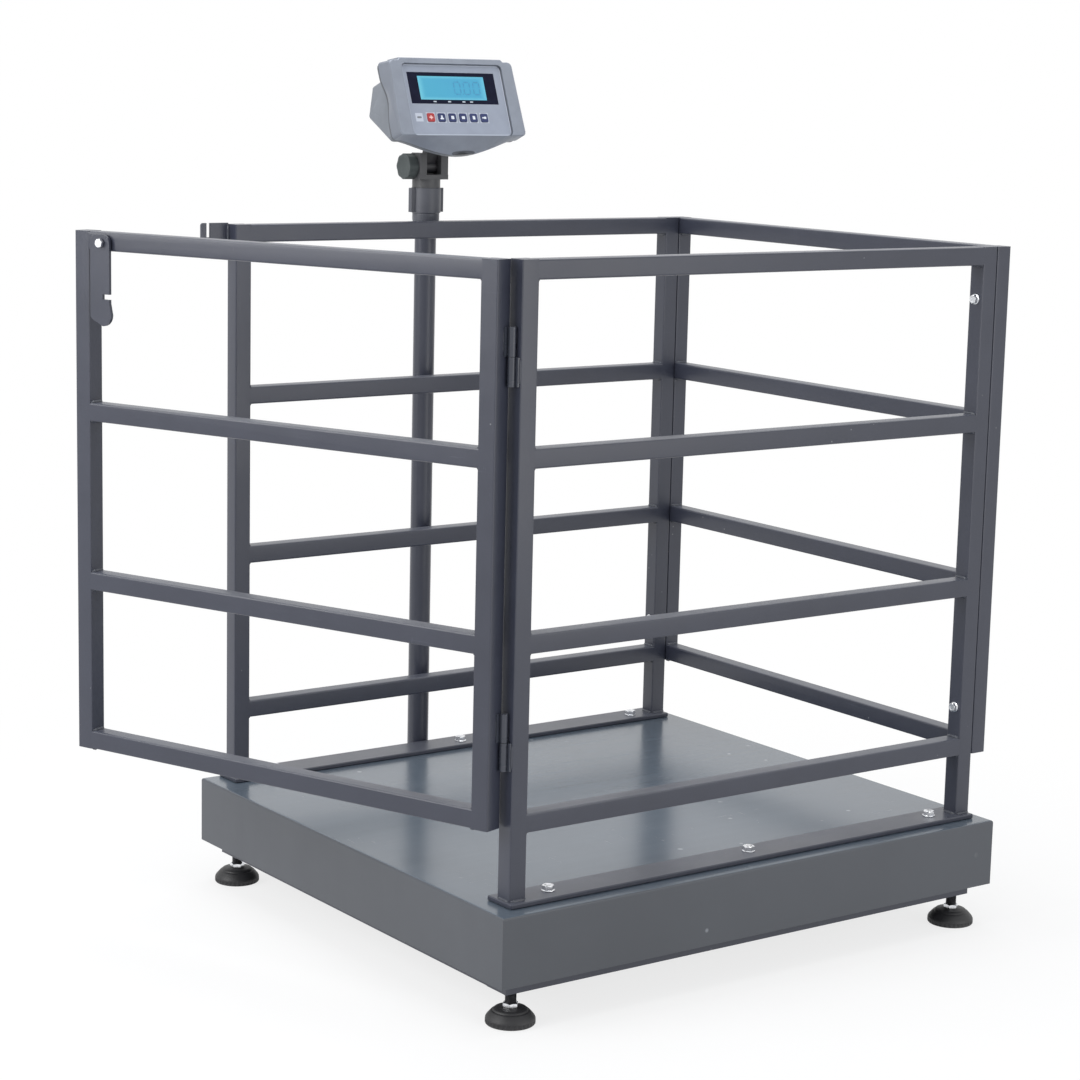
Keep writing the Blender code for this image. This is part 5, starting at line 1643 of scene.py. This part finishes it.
    def key_pieces(self) -> list[Piece]:
        """The six keys, each with a raised mark that moves with it."""
        pieces = []
        names = ["power_key"] + [f"function_key_{i}" for i in range(1, 6)]
        marks = [[(0, 0, 0.0040, 0.0012), (0, 0, 0.0012, 0.0036)],
                 [(0, -0.0022, 0.0036, 0.0013), (0, 0.0012, 0.0016, 0.0024)],
                 [(0, 0, 0.0030, 0.0030)], [(0, 0, 0.0032, 0.0026)], [(0, 0, 0.0026, 0.0032)],
                 [(-0.0012, 0, 0.0036, 0.0012), (0.0014, 0, 0.0022, 0.0022)]]
        for name, (across, up), bars in zip(names, self.key_places(), marks):
            coat, mark_coat, slot = ((Coat.RED, Coat.PINK_MARK, "red_key") if name == names[0]
                                     else (Coat.NAVY, Coat.PALE_MARK, "navy_key"))
            pieces.append(dressed(name, coat, name, slot, 0.0005, 3, 40.0))
            plates = (self.chip("mark", (across + x, up + z), (wide, tall),
                                self.key_proud + self.mark_proud, 0.0, 0.0008)
                      for x, z, wide, tall in bars)
            mark = reduce(Bench.combine, plates)
            mark.name = "mark_" + name
            pieces.append(Piece(mark, mark_coat, name, slot))
        return pieces

    def digits(self) -> Piece:
        """Three noughts and a point in plain bars, low in contrast, on the display."""
        wide, tall = self.digit_half
        bar = self.digit_bar
        level = (wide - bar * 1.3, bar)
        upright = (bar, tall / 2 - bar * 1.3)
        nought = ((0, tall, level), (wide, tall / 2, upright), (wide, -tall / 2, upright),
                  (0, -tall, level), (-wide, -tall / 2, upright), (-wide, tall / 2, upright))
        spots = [(place + x, z, half) for place in self.digit_places for x, z, half in nought]
        spots.append((self.point_place, -tall, (self.point_half, self.point_half)))
        bars = [self.chip("bar", (x, self.lcd_centre[1] + z), half, -self.digit_sunk,
                          0.0010, 0.0004) for x, z, half in spots]
        item = Bench.gather(bars, "display_figures")
        return Piece(item, Coat.SEGMENT, "indicator", "display")

    def build(self) -> list[Piece]:
        """All pieces of the indicator."""
        face = self.face
        film = LabelFilm("label_film", (0.300, 0.332, 0.405), (0.56, 0.60, 0.68), face,
                         self.panel_half, tuple(self.key_places()), self.lamp)
        bezel = BezelGloss("window_gloss", face, self.ticks, self.tick_height)
        screen = LitDisplay("lit_display", face, self.lcd_centre, self.lcd_half,
                            (0.070, 0.42, 0.62), (0.20, 0.68, 0.82))
        pieces = self.shells() + self.key_pieces() + [self.digits()]
        lamp = self.chip("charge_lamp", self.lamp, (0.0044, 0.0016), 0.0003, 0.0004, 0.0008)
        pieces.append(Piece(lamp, Coat.LAMP, "indicator", "panel_film"))
        return pieces + [
            dressed("keypad_panel", film, "indicator", "panel_film", 0.0002),
            dressed("display_bezel", bezel, "indicator", "black_plastic", 0.0002),
            dressed("lcd_module", screen, "indicator", "display", 0.0002),
            dressed("main_board", Coat.BOARD, "indicator", "board", 0.0002),
        ]


# Studio


@dataclass
class Studio:
    """The camera, the floor, the soft lamps and the pale surroundings."""

    datum: Datum
    eye: tuple[float, float, float] = (-2.645995, -3.488699, 1.216351)
    focal: float = 2657.7517
    picture: float = 1080.0
    sensor: float = 36.0
    yaw: float = 0.6267661
    pitch: float = 0.1744727
    roll: float = 0.0232625
    shadow_near: float = 0.75
    shadow_far: float = 1.7
    sky: Colour = (0.93, 0.96, 1.0)
    sky_strength: float = 0.62

    def camera(self) -> None:
        """The camera at the photograph's viewpoint."""
        cos_y, sin_y = math.cos(self.yaw), math.sin(self.yaw)
        cos_p, sin_p = math.cos(self.pitch), math.sin(self.pitch)
        ahead = Vector((sin_y * cos_p, cos_y * cos_p, -sin_p))
        level = Vector((cos_y, -sin_y, 0))
        upright = level.cross(ahead)
        cos_r, sin_r = math.cos(self.roll), math.sin(self.roll)
        right = level * cos_r + upright * sin_r
        top = upright * cos_r - level * sin_r
        data = bpy.data.cameras.new("photo_camera")
        data.sensor_fit = "HORIZONTAL"
        data.sensor_width = self.sensor
        data.lens = self.sensor * self.focal / self.picture
        data.clip_end = 60.0
        camera = bpy.data.objects.new("photo_camera", data)
        bpy.context.scene.collection.objects.link(camera)
        columns = Matrix((right, top, -ahead)).transposed().to_4x4()
        camera.matrix_world = self.datum.at(*self.eye) @ columns
        bpy.context.scene.camera = camera

    def floor(self) -> None:
        """A pale floor that keeps the shadow and is white to the camera."""
        Bench.clear()
        bpy.ops.mesh.primitive_plane_add(size=60.0, location=(0, 0, -0.0002))
        floor = Bench.named("studio_floor")
        g = Graph("studio_floor_white")
        g.set(Roughness=0.9)
        speck = g.noise(9.0, 3.0)
        g.set(Base_Color=g.mix(speck, (0.86, 0.86, 0.86), (0.90, 0.90, 0.90)))
        rays = g.node("ShaderNodeLightPath")
        seen = reduce(Field.most, (Field(g, rays.outputs[f"Is {ray} Ray"])
                                   for ray in ("Camera", "Glossy", "Transmission")))
        x = g.axis(Vector((1, 0, 0)), Vector())
        y = g.axis(Vector((0, 1, 0)), Vector())
        away = ((x * x + y * y) ** 0.5).rise(self.shadow_near, self.shadow_far)
        white = g.node("ShaderNodeEmission", None, {"Color": WHITE, "Strength": 1.0})
        share = seen * (0.78 + away * 0.22)
        blend = g.node("ShaderNodeMixShader", None,
                       {0: share, 1: g.shader.outputs[0], 2: white.outputs[0]})
        g.tree.links.new(blend.outputs[0], g.output.inputs[0])
        floor.data.materials.append(g.material)

    def lamp(self, name: str, place: tuple[float, float, float], size: float,
             power: float) -> None:
        """A square soft lamp aimed at the middle of the pen."""
        data = bpy.data.lights.new(name, "AREA")
        data.shape = "SQUARE"
        data.size = size
        data.energy = power
        lamp = bpy.data.objects.new(name, data)
        bpy.context.scene.collection.objects.link(lamp)
        spot = self.datum.centre + Vector(place)
        target = self.datum.centre + Vector((0, 0, 0.4))
        lamp.location = spot
        lamp.rotation_euler = (target - spot).to_track_quat("-Z", "Y").to_euler()

    def surroundings(self) -> None:
        """A pale world: soft light, and white where the camera or a gloss looks."""
        world = bpy.data.worlds.new("pale_surroundings")
        world.use_nodes = True
        tree = world.node_tree
        tree.nodes.clear()
        rays = tree.nodes.new("ShaderNodeLightPath")
        seen = tree.nodes.new("ShaderNodeMath")
        seen.operation = "ADD"
        seen.use_clamp = True
        mix = tree.nodes.new("ShaderNodeMixShader")
        out = tree.nodes.new("ShaderNodeOutputWorld")
        for i, ray in enumerate(("Is Camera Ray", "Is Glossy Ray")):
            tree.links.new(rays.outputs[ray], seen.inputs[i])
        tree.links.new(seen.outputs[0], mix.inputs[0])
        for i, (colour, strength) in enumerate(((self.sky, self.sky_strength), (WHITE, 1.0)), 1):
            light = tree.nodes.new("ShaderNodeBackground")
            light.inputs[0].default_value = (*colour, 1.0)
            light.inputs[1].default_value = strength
            tree.links.new(light.outputs[0], mix.inputs[i])
        tree.links.new(mix.outputs[0], out.inputs[0])
        bpy.context.scene.world = world

    def build(self) -> None:
        """Sets up the whole studio."""
        self.camera()
        self.floor()
        self.surroundings()
        self.lamp("window_left", (-3.4, 0.4, 2.0), 2.4, 78.0)
        self.lamp("soft_top", (0.2, 0.2, 3.8), 3.0, 75.0)
        self.lamp("fill_right", (1.2, -3.6, 0.9), 2.2, 26.0)
        bpy.context.scene.view_settings.view_transform = "Standard"


def main() -> None:
    """Builds every sub-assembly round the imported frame."""
    logging.basicConfig(level=logging.INFO, format="%(name)s %(message)s")
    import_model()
    datum = Datum.read()
    Studio(datum).build()
    shop = WeldShop()
    pieces = platform()
    pieces += LevellingFeet().build()
    pieces += Pen(datum).build(shop)
    pieces += Gate(datum).build(shop)
    pieces += Fasteners().build()
    pieces += Pole(datum).build()
    pieces += Indicator(datum).build()
    shop.close()
    for piece in pieces:
        piece.hand_over()
    Bench.clear()


if __name__ == "__main__":
    main()
